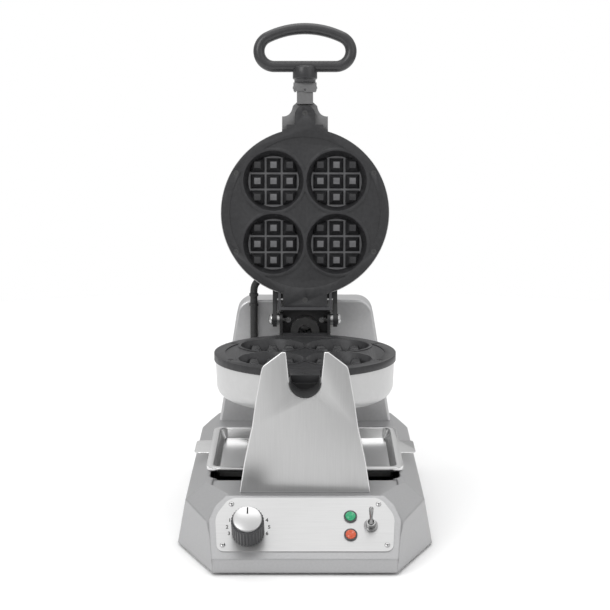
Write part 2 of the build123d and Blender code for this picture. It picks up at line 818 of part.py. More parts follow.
# Nut of the gland, inside the rear wall
with BuildPart() as gland_nut:
    with BuildSketch(upright(base_rear - base_wall)):
        with Locations((gland_x, gland_height - axis_height)):
            RegularPolygon(gland_dia / 2 + 3.5, 6)
            Circle(gland_dia / 2 + fit, mode=Mode.SUBTRACT)
    extrude(amount=5)
gland_nut.part.label = "gland_nut"
export_step(gland_nut.part, "parts/gland_nut.step")

# Front support: a bent plate with the notch between two rounded horns
support_side = [
    (support_foot_half, -deck_below_axis),
    (62.8, -85),
    (54.8, -48.5),
    (51.4, -23.4),
    (46, 7),
    (support_shoulder_half, support_shoulder_height),
]
with BuildPart() as front_support:
    with BuildSketch(upright(-support_face + support_thick)) as face:
        with BuildLine():
            Polyline(
                *support_side,
                (24, support_horn_height),
                (-24, support_horn_height),
                *[(-x, z) for x, z in reversed(support_side)],
                close=True,
            )
        make_face()
        shoulders = face.vertices().group_by(Axis.Y)[-2]
        fillet(shoulders, 9)
        add(notch_outline(0), mode=Mode.SUBTRACT)
        fillet(face.vertices().group_by(Axis.Y)[-1], 1.2)
    extrude(amount=support_thick)
    with BuildSketch(upright(-support_face + support_return_depth)):
        for side in (-1, 1):
            with BuildLine():
                Polyline(
                    *[(side * x, z) for x, z in support_side[:4]],
                    *[(side * (x - support_thick), z) for x, z in reversed(support_side[:4])],
                    close=True,
                )
            make_face()
    extrude(amount=support_return_depth - support_thick / 2)
    with BuildSketch(side_on(-base_half)):
        with BuildLine():
            Polyline(
                (-support_face + support_return_depth, -deck_below_axis + 20),
                (-support_face + support_thick, -10),
                (-support_face + support_thick, 60),
                (0, 60),
                (0, -deck_below_axis + 20),
                close=True,
            )
        make_face()
    extrude(amount=2 * base_half, mode=Mode.SUBTRACT)
    with BuildSketch(Plane.XY.offset(deck_z)):
        with Locations((0, plate_y - support_face + support_return_depth / 2)):
            Rectangle(2 * support_foot_half - 2, support_return_depth)
    extrude(amount=support_thick)
    with BuildSketch(Plane.XY.offset(deck_z + support_thick)):
        with Locations(*[(x, plate_y + y) for x, y in support_screw_spots]):
            Circle(screw_dia / 2 + fit)
    extrude(amount=-support_thick, mode=Mode.SUBTRACT)
front_support.part.label = "front_support"
export_step(front_support.part, "parts/front_support.step")

# Screws of the front support, into the deck
with BuildPart() as front_support_screws:
    with BuildSketch(Plane.XY.offset(deck_z + support_thick)):
        with Locations(*[(x, plate_y + y) for x, y in support_screw_spots]):
            Circle(screw_head_dia / 2)
    extrude(amount=2.4)
    with BuildSketch(Plane.XY.offset(deck_z + support_thick)):
        with Locations(*[(x, plate_y + y) for x, y in support_screw_spots]):
            Circle(screw_dia / 2)
    extrude(amount=-9)
front_support_screws.part.label = "front_support_screws"
export_step(front_support_screws.part, "parts/front_support_screws.step")

# Dark liner behind the notch, standing a little over the horns
with BuildPart() as notch_liner:
    with BuildSketch(upright(-support_face + support_thick + liner_thick)):
        add(notch_outline(3))
        add(notch_outline(0), mode=Mode.SUBTRACT)
        with Locations((0, support_horn_height + 2 + 20)):
            Rectangle(100, 40, mode=Mode.SUBTRACT)
    extrude(amount=liner_thick)
notch_liner.part.label = "notch_liner"
export_step(notch_liner.part, "parts/notch_liner.step")


def tower_outline(inset):
    """The tower's rounded trapezoid on the deck, moved in by an inset at its top and sides."""
    with BuildSketch() as outline:
        with BuildLine():
            Polyline(
                (tower_foot_half - inset, -deck_below_axis),
                (tower_top_half - inset, tower_top - inset),
                (inset - tower_top_half, tower_top - inset),
                (inset - tower_foot_half, -deck_below_axis),
                close=True,
            )
        make_face()
        fillet(outline.vertices().group_by(Axis.Y)[-1], tower_corner - inset)
    return outline.sketch


# Rear tower: a rounded casing, open behind, with stop lugs beside the shaft
with BuildPart() as rear_tower:
    with BuildSketch(upright(tower_face + tower_depth)):
        add(tower_outline(0))
    extrude(amount=tower_depth)
    front_edges = rear_tower.edges().group_by(Axis.Y)[0]
    fillet(front_edges.filter_by(lambda e: e.center().Z > deck_z + 1), tower_edge_round)
    with BuildSketch(upright(tower_face + tower_depth)):
        add(tower_outline(tower_wall))
        with Locations((0, -deck_below_axis)):
            Rectangle(4 * tower_foot_half, 2 * tower_wall, mode=Mode.SUBTRACT)
    extrude(amount=tower_depth - tower_wall, mode=Mode.SUBTRACT)
    with BuildSketch(upright(tower_face + tower_wall)):
        for z in (-lug_out - lug_height / 2, lug_out + lug_height / 2):
            with Locations((stop_pin_dia / 2 + 0.3 + lug_thick / 2, z)):
                Rectangle(lug_thick, lug_height)
        with Locations(*cover_screw_spots):
            Circle(4.5)
    extrude(amount=-(tower_depth - tower_wall - cover_thick - 4))
    with BuildSketch(upright(tower_face + tower_depth - cover_thick - 4)):
        with Locations(*cover_screw_spots):
            Circle(4.5)
    extrude(amount=-4)
    with BuildSketch(upright(tower_face + tower_depth - cover_thick)):
        with Locations(*cover_screw_spots):
            Circle(screw_dia / 2 + fit)
    extrude(amount=10, mode=Mode.SUBTRACT)
    with BuildSketch(upright(tower_face)):
        Circle(shaft_dia / 2 + bush_wall + fit)
    extrude(amount=-2 * tower_wall, mode=Mode.SUBTRACT)
    with BuildSketch(Plane.XY.offset(deck_z)):
        with Locations(*[(x, plate_y + y) for x, y in tower_screw_spots]):
            Circle(screw_dia / 2 + fit)
    extrude(amount=2 * tower_wall, mode=Mode.SUBTRACT)
rear_tower.part.label = "rear_tower"
export_step(rear_tower.part, "parts/rear_tower.step")

# Screws up through the deck into the tower
with BuildPart() as tower_screws:
    with BuildSketch(Plane.XY.offset(deck_z - base_wall)):
        with Locations(*[(x, plate_y + y) for x, y in tower_screw_spots]):
            Circle(screw_head_dia / 2)
    extrude(amount=-screw_head_depth)
    with BuildSketch(Plane.XY.offset(deck_z - base_wall)):
        with Locations(*[(x, plate_y + y) for x, y in tower_screw_spots]):
            Circle(screw_dia / 2)
    extrude(amount=base_wall + tower_wall + 4)
tower_screws.part.label = "tower_screws"
export_step(tower_screws.part, "parts/tower_screws.step")

# Cover of the tower's open back
with BuildPart() as rear_cover:
    with BuildSketch(upright(tower_face + tower_depth)):
        add(tower_outline(tower_wall + 0.2))
        with Locations((0, -deck_below_axis)):
            Rectangle(4 * tower_foot_half, 2 * tower_wall + 0.4, mode=Mode.SUBTRACT)
        with Locations(*cover_screw_spots):
            Circle(screw_dia / 2 + fit, mode=Mode.SUBTRACT)
    extrude(amount=cover_thick)
rear_cover.part.label = "rear_cover"
export_step(rear_cover.part, "parts/rear_cover.step")

# Screws of the rear cover
with BuildPart() as rear_cover_screws:
    with BuildSketch(upright(tower_face + tower_depth)):
        with Locations(*cover_screw_spots):
            Circle(screw_head_dia / 2)
    extrude(amount=-1.6)
    with BuildSketch(upright(tower_face + tower_depth)):
        with Locations(*cover_screw_spots):
            Circle(screw_dia / 2)
    extrude(amount=9)
rear_cover_screws.part.label = "rear_cover_screws"
export_step(rear_cover_screws.part, "parts/rear_cover_screws.step")

# Bearing bush of the turning shaft, flanged in front of the tower
with BuildPart() as bearing_bush:
    bush_bore = shaft_dia + 2 * running_fit
    add(hub_of(shaft_dia + 2 * bush_wall, bush_bore, tower_face, tower_face + bush_length - 3))
    add(hub_of(bush_flange_dia, bush_bore, tower_face - bush_flange_thick, tower_face))
bearing_bush.part.label = "bearing_bush"
export_step(bearing_bush.part, "parts/bearing_bush.step")

# Turning shaft: a steel tube with a shoulder between the yoke and the bush
with BuildPart() as rotor_shaft:
    yoke_back = yoke_plate_start + yoke_plate_thick
    add(hub_of(shaft_dia, shaft_bore, shaft_start, shaft_end))
    add(hub_of(shaft_dia + 6, shaft_bore, yoke_back, tower_face - bush_flange_thick - 0.2))
    with BuildSketch(level(0)):
        with Locations((0, stop_pin_y)):
            Circle(stop_pin_dia / 2 + fit)
    extrude(amount=-shaft_dia, mode=Mode.SUBTRACT)
rotor_shaft.part.label = "rotor_shaft"
export_step(rotor_shaft.part, "parts/rotor_shaft.step")

# Black bush in the front mouth of the shaft
with BuildPart() as shaft_bush:
    add(hub_of(shaft_bore, cable_bore, shaft_start, shaft_start + 12))
    add(hub_of(shaft_dia, cable_bore, shaft_start - 2, shaft_start))
shaft_bush.part.label = "shaft_bush"
export_step(shaft_bush.part, "parts/shaft_bush.step")

# Ring that keeps the shaft in its bush
with BuildPart() as retaining_ring:
    ring_start = tower_face + bush_length - 3 + 0.3
    add(hub_of(shaft_dia + 8, shaft_dia + 2 * fit, ring_start, ring_start + 2))
retaining_ring.part.label = "retaining_ring"
export_step(retaining_ring.part, "parts/retaining_ring.step")

# Pin that meets the stop lugs
with BuildPart() as stop_pin:
    with BuildSketch(level(-shaft_dia / 2 + 6)):
        with Locations((0, stop_pin_y)):
            Circle(stop_pin_dia / 2)
    extrude(amount=-17)
stop_pin.part.label = "stop_pin"
export_step(stop_pin.part, "parts/stop_pin.step")

# Yoke on the shaft: back plate, two cheeks with the hinge eyes, and a foot under the plate's tab
cheek_outer = cheek_inner + cheek_thick
with BuildPart() as hinge_yoke:
    with BuildSketch(upright(yoke_back)):
        with Locations((0, -8)):
            RectangleRounded(2 * cheek_outer, 64, 5)
        Circle(shaft_dia / 2 + fit, mode=Mode.SUBTRACT)
        with Locations(*yoke_screw_spots):
            Circle(screw_dia / 2 + fit, mode=Mode.SUBTRACT)
    extrude(amount=yoke_plate_thick)
    for x in (-cheek_outer, cheek_inner):
        with BuildSketch(side_on(x)):
            with BuildLine():
                Polyline(
                    (cheek_front, -14),
                    (cheek_front, -0.5),
                    (116, -0.5),
                    (116.4, hinge_up),
                    (yoke_plate_start, hinge_up),
                    (yoke_plate_start, -36),
                    (122, -36),
                    (112, -14),
                    close=True,
                )
            make_face()
            with Locations((hinge_back, hinge_up)):
                Circle(cheek_radius)
            with Locations((hinge_back, hinge_up)):
                Circle(hinge_pin_dia / 2 + 0.02, mode=Mode.SUBTRACT)
        extrude(amount=cheek_thick)
    with BuildSketch(level(-flange_thick)):
        with Locations((0, (cheek_front + 116) / 2)):
            Rectangle(2 * cheek_outer, 116 - cheek_front)
        with Locations((0, tab_screw_y)):
            Circle(screw_dia / 2 + fit, mode=Mode.SUBTRACT)
    extrude(amount=flange_thick - 14)
hinge_yoke.part.label = "hinge_yoke"
export_step(hinge_yoke.part, "parts/hinge_yoke.step")

# Two screws that hold the yoke to the shaft's shoulder
with BuildPart() as yoke_screws:
    with BuildSketch(upright(yoke_plate_start)):
        with Locations(*yoke_screw_spots):
            Circle(screw_head_dia / 2)
    extrude(amount=2)
    with BuildSketch(upright(yoke_plate_start)):
        with Locations(*yoke_screw_spots):
            Circle(screw_dia / 2)
    extrude(amount=-yoke_plate_thick - 2)
yoke_screws.part.label = "yoke_screws"
export_step(yoke_screws.part, "parts/yoke_screws.step")

# Two domed hinge bolts
head_start = arm_inner + arm_thick + 0.1
with BuildPart() as hinge_bolts:
    for side in (-1, 1):
        with Locations(hinge_pin_at * Rot(0, 90 * side, 0)):
            with Locations((0, 0, cheek_inner - 4)):
                Cylinder(hinge_pin_dia / 2, head_start - cheek_inner + 4,
                         align=(Align.CENTER, Align.CENTER, Align.MIN))
            with Locations((0, 0, head_start)):
                Cylinder(bolt_head_dia / 2, bolt_head_height,
                         align=(Align.CENTER, Align.CENTER, Align.MIN))
    for end in (hinge_bolts.faces().sort_by(Axis.X)[0], hinge_bolts.faces().sort_by(Axis.X)[-1]):
        fillet(end.edges(), 3.2)
hinge_bolts.part.label = "hinge_bolts"
export_step(hinge_bolts.part, "parts/hinge_bolts.step")

# Spacers between the cheeks and the lid's hinge arms
with BuildPart() as hinge_spacers:
    for side in (-1, 1):
        with Locations(hinge_pin_at * Rot(0, 90 * side, 0)):
            with Locations((0, 0, cheek_outer)):
                Cylinder(hinge_pin_dia / 2 + 3, arm_inner - cheek_outer - 0.1,
                         align=(Align.CENTER, Align.CENTER, Align.MIN))
                Cylinder(hinge_pin_dia / 2 + 0.02, arm_inner - cheek_outer,
                         align=(Align.CENTER, Align.CENTER, Align.MIN), mode=Mode.SUBTRACT)
hinge_spacers.part.label = "hinge_spacers"
export_step(hinge_spacers.part, "parts/hinge_spacers.step")

# Lower waffle plate, cast with its front tab
with BuildSketch() as lower_tab:
    with Locations((0, -lower_tab_reach / 2)):
        Rectangle(2 * lower_tab_half, lower_tab_reach)
with BuildPart() as lower_plate:
    add(plate_form(plate_dia, lower_tab.sketch, lower_tab_screw))
lower_plate.part.label = "lower_plate"
export_step(lower_plate.part, "parts/lower_plate.step")

# Lower casing, with the hole where the heater lead goes in
with BuildPart() as lower_casing:
    add(casing_form())
    with BuildSketch(upright(0)):
        with Locations((lead_x, lead_low)):
            Circle(lead_dia / 2 + 0.3)
    extrude(amount=-casing_top_dia, mode=Mode.SUBTRACT)
lower_casing.part.label = "lower_casing"
export_step(lower_casing.part, "parts/lower_casing.step")

# Ring heater under the lower plate
with BuildPart() as lower_heater:
    add(heater_form())
lower_heater.part.label = "lower_heater"
export_step(lower_heater.part, "parts/lower_heater.step")

# Temperature sensor under the lower plate
with BuildPart() as temperature_sensor:
    add(sensor_form())
temperature_sensor.part.label = "temperature_sensor"
export_step(temperature_sensor.part, "parts/temperature_sensor.step")

# Screws of the lower plate
with BuildPart() as lower_plate_screws:
    add(plate_screws_form(lower_tab_screw))
lower_plate_screws.part.label = "lower_plate_screws"
export_step(lower_plate_screws.part, "parts/lower_plate_screws.step")

# Front trough that turns in the notch, on an arm under the plate's tab
with BuildPart() as front_trough:
    with BuildSketch(upright(-trough_start)):
        Circle(trough_dia / 2)
        Circle(trough_dia / 2 - trough_wall, mode=Mode.SUBTRACT)
        with Locations((0, trough_dia / 2 - 0.4)):
            Rectangle(2 * trough_dia, trough_dia, mode=Mode.SUBTRACT)
    extrude(amount=trough_end - trough_start)
    with BuildSketch(upright(-trough_start)):
        Circle(trough_dia / 2)
        with Locations((0, trough_dia / 2 - flange_thick)):
            Rectangle(2 * trough_dia, trough_dia, mode=Mode.SUBTRACT)
    extrude(amount=3)
    with BuildSketch(level(-flange_thick)):
        with Locations((0, -(trough_start + trough_arm_start) / 2)):
            Rectangle(2 * trough_arm_half, trough_start - trough_arm_start)
        with Locations((0, -lower_tab_screw)):
            Circle(screw_dia / 2 + fit, mode=Mode.SUBTRACT)
    extrude(amount=flange_thick - 14)
front_trough.part.label = "front_trough"
export_step(front_trough.part, "parts/front_trough.step")

# Heater lead in its sleeve, from the lid's casing round to the lower casing
lead_middle = Vector(0, plate_y, axis_height)
lead_points = [
    lead_middle + Vector(-56.6, 147.3, 55.4),
    lead_middle + Vector(-58.6, 146.9, 52.6),
    lead_middle + Vector(lead_x, lead_y, 42),
    lead_middle + Vector(lead_x, lead_y, lead_low + lead_bend),
    lead_middle + Vector(lead_x, lead_y - lead_bend, lead_low),
    lead_middle + Vector(lead_x, 72, lead_low),
]
with BuildPart() as heater_lead:
    with BuildLine() as lead_path:
        leave = Line(lead_points[0], lead_points[1])
        Spline(lead_points[1:3], tangents=(leave % 1, (0, 0, -1)))
        Line(lead_points[2], lead_points[3])
        Spline(lead_points[3:5], tangents=((0, 0, -1), (0, -1, 0)))
        Line(lead_points[4], lead_points[5])
    with BuildSketch(Plane(origin=lead_points[0], z_dir=leave % 0)):
        Circle(lead_dia / 2)
    sweep(path=lead_path.line)
heater_lead.part.label = "heater_lead"
export_step(heater_lead.part, "parts/heater_lead.step")

# Two cable ties round the lead
with BuildPart() as cable_ties:
    for z in (26, 38):
        with BuildSketch(level(z)):
            with Locations((lead_x, lead_y)):
                Circle(lead_dia / 2 + tie_wall)
                Circle(lead_dia / 2 + fit, mode=Mode.SUBTRACT)
        extrude(amount=tie_width)
        with BuildSketch(level(z)):
            with Locations((lead_x, lead_y - lead_dia / 2 - tie_wall)):
                Rectangle(3.4, 3.6)
            with Locations((lead_x, lead_y)):
                Circle(lead_dia / 2 + fit, mode=Mode.SUBTRACT)
        extrude(amount=tie_width)
cable_ties.part.label = "cable_ties"
export_step(cable_ties.part, "parts/cable_ties.step")

# Upper waffle plate, drawn closed and then swung open with the lid
with BuildSketch() as upper_tab:
    with Locations((0, -(tab_reach - tab_half) / 2)):
        Rectangle(2 * tab_half, tab_reach - tab_half)
    with Locations((0, tab_half - tab_reach)):
        Circle(tab_half)
    with Locations((0, -tab_step_reach / 2)):
        Rectangle(2 * tab_step_half, tab_step_reach)
    with Locations((0, -tab_foot_reach / 2)):
        Rectangle(2 * tab_foot_half, tab_foot_reach)
with BuildPart() as upper_plate:
    add(upper(plate_form(lid_plate_dia, upper_tab.sketch, tab_screw_reach)))
upper_plate.part.label = "upper_plate"
export_step(upper_plate.part, "parts/upper_plate.step")

# Screws that hold the hinge bracket to the upper casing
with BuildPart() as closed_bracket_screws:
    with BuildSketch(upright(bracket_back + 1.8)):
        with Locations(*bracket_screw_spots):
            Circle(screw_head_dia / 2)
    extrude(amount=1.8)
    with BuildSketch(upright(bracket_back)):
        with Locations(*bracket_screw_spots):
            Circle(screw_dia / 2)
    extrude(amount=10)
with BuildPart() as bracket_screws:
    add(opened(closed_bracket_screws.part))
bracket_screws.part.label = "bracket_screws"
export_step(bracket_screws.part, "parts/bracket_screws.step")

# Upper casing
with BuildPart() as closed_upper_casing:
    add(casing_form().mirror(lid_middle))
    with BuildSketch(upright(bracket_back)):
        with Locations(*bracket_screw_spots):
            Circle(screw_dia / 2 + fit)
    extrude(amount=14, mode=Mode.SUBTRACT)
with BuildPart() as upper_casing:
    add(opened(closed_upper_casing.part))
upper_casing.part.label = "upper_casing"
export_step(upper_casing.part, "parts/upper_casing.step")

# Ring heater of the lid
with BuildPart() as upper_heater:
    add(upper(heater_form()))
upper_heater.part.label = "upper_heater"
export_step(upper_heater.part, "parts/upper_heater.step")

# Screws of the upper plate
with BuildPart() as upper_plate_screws:
    add(upper(plate_screws_form(tab_screw_reach)))
upper_plate_screws.part.label = "upper_plate_screws"
export_step(upper_plate_screws.part, "parts/upper_plate_screws.step")

# Hinge bracket: a saddle behind the lid's casing with two arms round the hinge bolts
arm_outer = arm_inner + arm_thick
with BuildPart() as closed_hinge_bracket:
    with BuildSketch(level(lid_rim - 0.1)):
        with Locations((0, (bracket_back + 90) / 2)):
            Rectangle(2 * arm_outer, bracket_back - 90)
    extrude(amount=bracket_top - lid_rim + 0.1)
    for x in (-arm_outer, arm_inner):
        with BuildSketch(side_on(x)):
            with Locations((hinge_back, hinge_up)):
                Circle(eye_radius)
            with BuildLine():
                Polyline(
                    (96, lid_rim - 0.1),
                    (96, bracket_top),
                    (bracket_back, bracket_top),
                    (hinge_back + 4, hinge_up + 8.0),
                    (hinge_back - 4, hinge_up - 8.0),
                    (bracket_back + 6, lid_rim - 0.1),
                    close=True,
                )
            make_face()
        extrude(amount=arm_thick)
    with BuildSketch(level(lid_rim - 0.1)):
        with Locations((0, (bracket_back + rear_tab_reach) / 2 - 2)):
            Rectangle(2 * rear_tab_half, rear_tab_reach - bracket_back + 4)
    extrude(amount=sheet_thick)
    with BuildSketch(side_on(-arm_outer - 1)):
        with Locations((hinge_back, hinge_up)):
            Circle(hinge_pin_dia / 2 + running_fit)
    extrude(amount=2 * arm_outer + 2, mode=Mode.SUBTRACT)
    with BuildSketch(level(lid_rim - 0.5)):
        with Locations((0, 0)):
            Circle(casing_top_dia / 2 + 0.05)
    extrude(amount=casing_depth, taper=casing_draft, mode=Mode.SUBTRACT)
    with BuildSketch(upright(bracket_back)):
        with Locations(*bracket_screw_spots):
            Circle(screw_dia / 2 + fit)
    extrude(amount=14, mode=Mode.SUBTRACT)
    with BuildSketch(level(0)):
        with Locations((0, tab_screw_y)):
            Circle(screw_dia / 2 + fit)
    extrude(amount=20, mode=Mode.SUBTRACT)
with BuildPart() as hinge_bracket:
    add(opened(closed_hinge_bracket.part))
hinge_bracket.part.label = "hinge_bracket"
export_step(hinge_bracket.part, "parts/hinge_bracket.step")

# Hinge frame: a bar round the rear tab of the upper plate
frame_outer = frame_inner + frame_bar
with BuildPart() as closed_hinge_frame:
    with BuildSketch(level(frame_low)):
        with Locations((0, (94 + frame_back) / 2)):
            Rectangle(2 * frame_outer, frame_back - 94)
        with Locations((0, (90 + rear_tab_reach) / 2)):
            Rectangle(2 * frame_inner, rear_tab_reach + 0.3 - 90, mode=Mode.SUBTRACT)
        Circle(lid_plate_dia / 2 + 0.05, mode=Mode.SUBTRACT)
    extrude(amount=lid_rim - 0.1 - frame_low)
with BuildPart() as hinge_frame:
    add(opened(closed_hinge_frame.part))
hinge_frame.part.label = "hinge_frame"
export_step(hinge_frame.part, "parts/hinge_frame.step")

# Wing bracket: concave wings over the front tab, a riser and the strip that carries the handle
with BuildPart() as closed_wing_bracket:
    with BuildSketch(level(lid_back)) as wing:
        with BuildLine():
            Line((wing_half, -90), (wing_half, -wing_reach))
            wing_flare = Spline(
                [(wing_half, -wing_reach), (wing_neck_half, -wing_neck_reach)],
                tangents=((-1, 0.05), (-0.15, -1)),
            )
            Line((wing_neck_half, -wing_neck_reach), (strip_half, -riser_reach))
            Line((strip_half, -riser_reach), (0, -riser_reach))
            Line((0, -riser_reach), (0, -90))
            Line((0, -90), (wing_half, -90))
        make_face()
        mirror(about=Plane.YZ)
        Circle(casing_top_dia / 2 + 0.1, mode=Mode.SUBTRACT)
        with Locations((0, -tab_screw_reach)):
            Circle(screw_dia / 2 + fit, mode=Mode.SUBTRACT)
    extrude(amount=sheet_thick)
    with BuildSketch(level(lid_back + sheet_thick)):
        with Locations((0, -riser_reach + sheet_thick / 2)):
            Rectangle(2 * strip_half, sheet_thick)
    extrude(amount=-(lid_back + sheet_thick + strip_thick / 2))
    with BuildSketch(side_on(-strip_half)):
        with Locations((-(riser_reach + fold_reach) / 2 + sheet_thick / 2, 0)):
            Rectangle(fold_reach - riser_reach + sheet_thick, strip_thick)
        with Locations((-fold_reach, 0)):
            Circle(strip_thick / 2)
            Circle(fold_pin_dia / 2 + running_fit, mode=Mode.SUBTRACT)
    extrude(amount=2 * strip_half)
with BuildPart() as wing_bracket:
    add(opened(closed_wing_bracket.part))
wing_bracket.part.label = "wing_bracket"
export_step(wing_bracket.part, "parts/wing_bracket.step")

# Handle socket: a channel that hides the fold pin, with an end wall and a slot for the latch
with BuildPart() as closed_handle_socket:
    with BuildSketch(level(socket_height / 2)) as shell:
        with Locations((0, -(socket_front + socket_back) / 2)):
            Rectangle(2 * socket_half, socket_front - socket_back)
        fillet(shell.vertices().group_by(Axis.Y)[-1], socket_corner)
    extrude(amount=-socket_height)
    with BuildSketch(level(socket_height / 2)):
        with Locations((0, -(socket_front - socket_wall + socket_back) / 2)):
            Rectangle(2 * (socket_half - socket_wall), socket_front - socket_wall - socket_back)
    extrude(amount=-socket_height + 2, mode=Mode.SUBTRACT)
    with BuildSketch(level(-socket_height / 2)):
        with Locations((-5.75, -socket_back - 0.7)):
            Rectangle(8.5, 1.5)
        with Locations((0, -latch_reach)):
            Circle(latch_dia / 2)
    extrude(amount=2, mode=Mode.SUBTRACT)
    with BuildSketch(side_on(-socket_half)):
        with Locations((-fold_reach, 0)):
            Circle(fold_pin_dia / 2)
    extrude(amount=2 * socket_half, mode=Mode.SUBTRACT)
with BuildPart() as handle_socket:
    add(opened(closed_handle_socket.part))
handle_socket.part.label = "handle_socket"
export_step(handle_socket.part, "parts/handle_socket.step")

# Fold pin of the handle
with BuildPart() as closed_fold_pin:
    with BuildSketch(side_on(-fold_pin_half)):
        with Locations((-fold_reach, 0)):
            Circle(fold_pin_dia / 2)
    extrude(amount=2 * fold_pin_half)
with BuildPart() as fold_pin:
    add(opened(closed_fold_pin.part))
fold_pin.part.label = "fold_pin"
export_step(fold_pin.part, "parts/fold_pin.step")

# Latch button in the socket's web
with BuildPart() as closed_latch_button:
    with BuildSketch(level(-socket_height / 2 - 0.8)):
        with Locations((0, -latch_reach)):
            Circle(latch_dia / 2)
    extrude(amount=2.8)
with BuildPart() as latch_button:
    add(opened(closed_latch_button.part))
latch_button.part.label = "latch_button"
export_step(latch_button.part, "parts/latch_button.step")

# Handle: neck, collar and the loop, whose far side is a wide arc
far_rise = loop_far - loop_near - loop_corner
corner_x = loop_half - loop_corner
far_radius = (corner_x**2 + far_rise**2 - loop_corner**2) / (2 * (far_rise - loop_corner))
far_angle = degrees(atan2(far_radius - far_rise, corner_x))
with BuildPart() as closed_handle_loop:
    with BuildLine(level(0)) as loop_path:
        Line((0, -loop_near), (corner_x, -loop_near))
        CenterArc((corner_x, -loop_near - loop_corner), loop_corner, 90, -90 - far_angle)
        CenterArc((0, far_radius - loop_far), far_radius, -far_angle, far_angle - 90)
    with BuildSketch(Plane(origin=loop_path.line @ 0, z_dir=(1, 0, 0))):
        Circle(bar_dia / 2)
    sweep(path=loop_path.line)
    mirror(about=Plane.YZ)
    add(hub_of(collar_dia, 0, -loop_near, -collar_start))
    add(hub_of(neck_dia, 0, -collar_start, -socket_front))
with BuildPart() as handle_loop:
    add(opened(closed_handle_loop.part))
handle_loop.part.label = "handle_loop"
export_step(handle_loop.part, "parts/handle_loop.step")

# Drip tray: a sloped basin in a flat rim with a finger ear each side
tray_length = tray_front + tray_back
tray_mid = Pos(0, plate_y + (tray_back - tray_front) / 2, deck_z + tray_lip + seat_gap)
tray_level = Plane(tray_mid)
rim_drop = tray_lip - tray_sheet
basin_half = tray_half - tray_rim
basin_length = tray_length - 2 * tray_rim
basin_corner = tray_corner - tray_rim
with BuildPart() as drip_tray:
    with BuildSketch(tray_level):
        RectangleRounded(2 * tray_half, tray_length, tray_corner)
    extrude(amount=-tray_lip)
    with BuildSketch(tray_level.offset(-tray_sheet)):
        RectangleRounded(
            2 * (tray_half - tray_sheet), tray_length - 2 * tray_sheet, tray_corner - tray_sheet
        )
    extrude(amount=-rim_drop, mode=Mode.SUBTRACT)
    with BuildSketch(tray_level):
        RectangleRounded(2 * basin_half + 2 * tray_sheet, basin_length + 2 * tray_sheet,
                         basin_corner + tray_sheet)
    extrude(amount=-tray_depth, taper=tray_taper)
    with BuildSketch(tray_level):
        RectangleRounded(2 * ear_reach, ear_length, 8)
        Rectangle(2 * basin_half, 2 * ear_length, mode=Mode.SUBTRACT)
    extrude(amount=-tray_sheet)
    with BuildSketch(tray_level):
        RectangleRounded(2 * basin_half, basin_length, basin_corner)
    extrude(amount=tray_sheet - tray_depth, taper=tray_taper, mode=Mode.SUBTRACT)
drip_tray.part.label = "drip_tray"
export_step(drip_tray.part, "parts/drip_tray.step")
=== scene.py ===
import bmesh
import bpy
from math import atan2, cos, pi, radians, sin
from mathutils import Matrix, Vector


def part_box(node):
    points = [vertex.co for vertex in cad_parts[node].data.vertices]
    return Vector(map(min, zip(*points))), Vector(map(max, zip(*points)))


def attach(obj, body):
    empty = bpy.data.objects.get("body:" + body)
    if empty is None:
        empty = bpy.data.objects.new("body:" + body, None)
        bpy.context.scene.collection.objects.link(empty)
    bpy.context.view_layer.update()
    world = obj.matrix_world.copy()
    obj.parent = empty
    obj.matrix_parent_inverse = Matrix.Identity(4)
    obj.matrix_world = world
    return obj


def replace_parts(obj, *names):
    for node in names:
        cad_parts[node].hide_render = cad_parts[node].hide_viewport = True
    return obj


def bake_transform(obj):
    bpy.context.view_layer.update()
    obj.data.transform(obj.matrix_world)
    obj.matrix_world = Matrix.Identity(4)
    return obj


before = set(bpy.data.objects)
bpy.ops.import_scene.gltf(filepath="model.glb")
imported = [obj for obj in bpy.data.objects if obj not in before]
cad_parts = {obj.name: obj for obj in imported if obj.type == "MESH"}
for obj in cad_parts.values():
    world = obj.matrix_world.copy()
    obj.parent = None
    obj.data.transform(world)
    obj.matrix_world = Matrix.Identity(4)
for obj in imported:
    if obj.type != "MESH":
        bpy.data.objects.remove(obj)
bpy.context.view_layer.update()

# Camera at the photograph's viewpoint: a long lens about two metres in front, a little above the
# machine, looking down by ten degrees. Its place is taken from the middle of the waffle plates.
lower_tab_reach = 0.124
plate_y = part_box("lower_plate")[0][1] + lower_tab_reach
axis_z = (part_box("rotor_shaft")[0][2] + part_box("rotor_shaft")[1][2]) / 2
camera_back = 1.8976
camera_rise = 0.38515
look_down = 9.94
shot = bpy.data.cameras.new("shot")
shot.lens = 102.57
shot.sensor_width = 36.0
shot.clip_end = 20.0
camera = bpy.data.objects.new("camera", shot)
camera.location = (0.0, plate_y - camera_back, axis_z + camera_rise)
camera.rotation_euler = (radians(90 - look_down), 0.0, 0.0)
bpy.context.collection.objects.link(camera)
bpy.context.scene.camera = camera
bpy.context.scene.view_settings.view_transform = "Standard"

# White worktop under the machine: a round sheet that melts into the white room behind it, shows
# in the polished metal, and keeps the soft shadow of the base.
worktop_radius = 1.5
ground = bmesh.new()
bmesh.ops.create_circle(ground, cap_ends=True, segments=96, radius=worktop_radius)
ground_mesh = bpy.data.meshes.new("worktop")
ground.to_mesh(ground_mesh)
ground.free()
worktop = bpy.data.objects.new("worktop", ground_mesh)
bpy.context.collection.objects.link(worktop)
worktop_paint = bpy.data.materials.new("worktop")
worktop_paint.use_nodes = True
paint = worktop_paint.node_tree.nodes["Principled BSDF"]
paint.inputs["Base Color"].default_value = (0.95, 0.95, 0.95, 1)
paint.inputs["Roughness"].default_value = 0.9
ground_mesh.materials.append(worktop_paint)

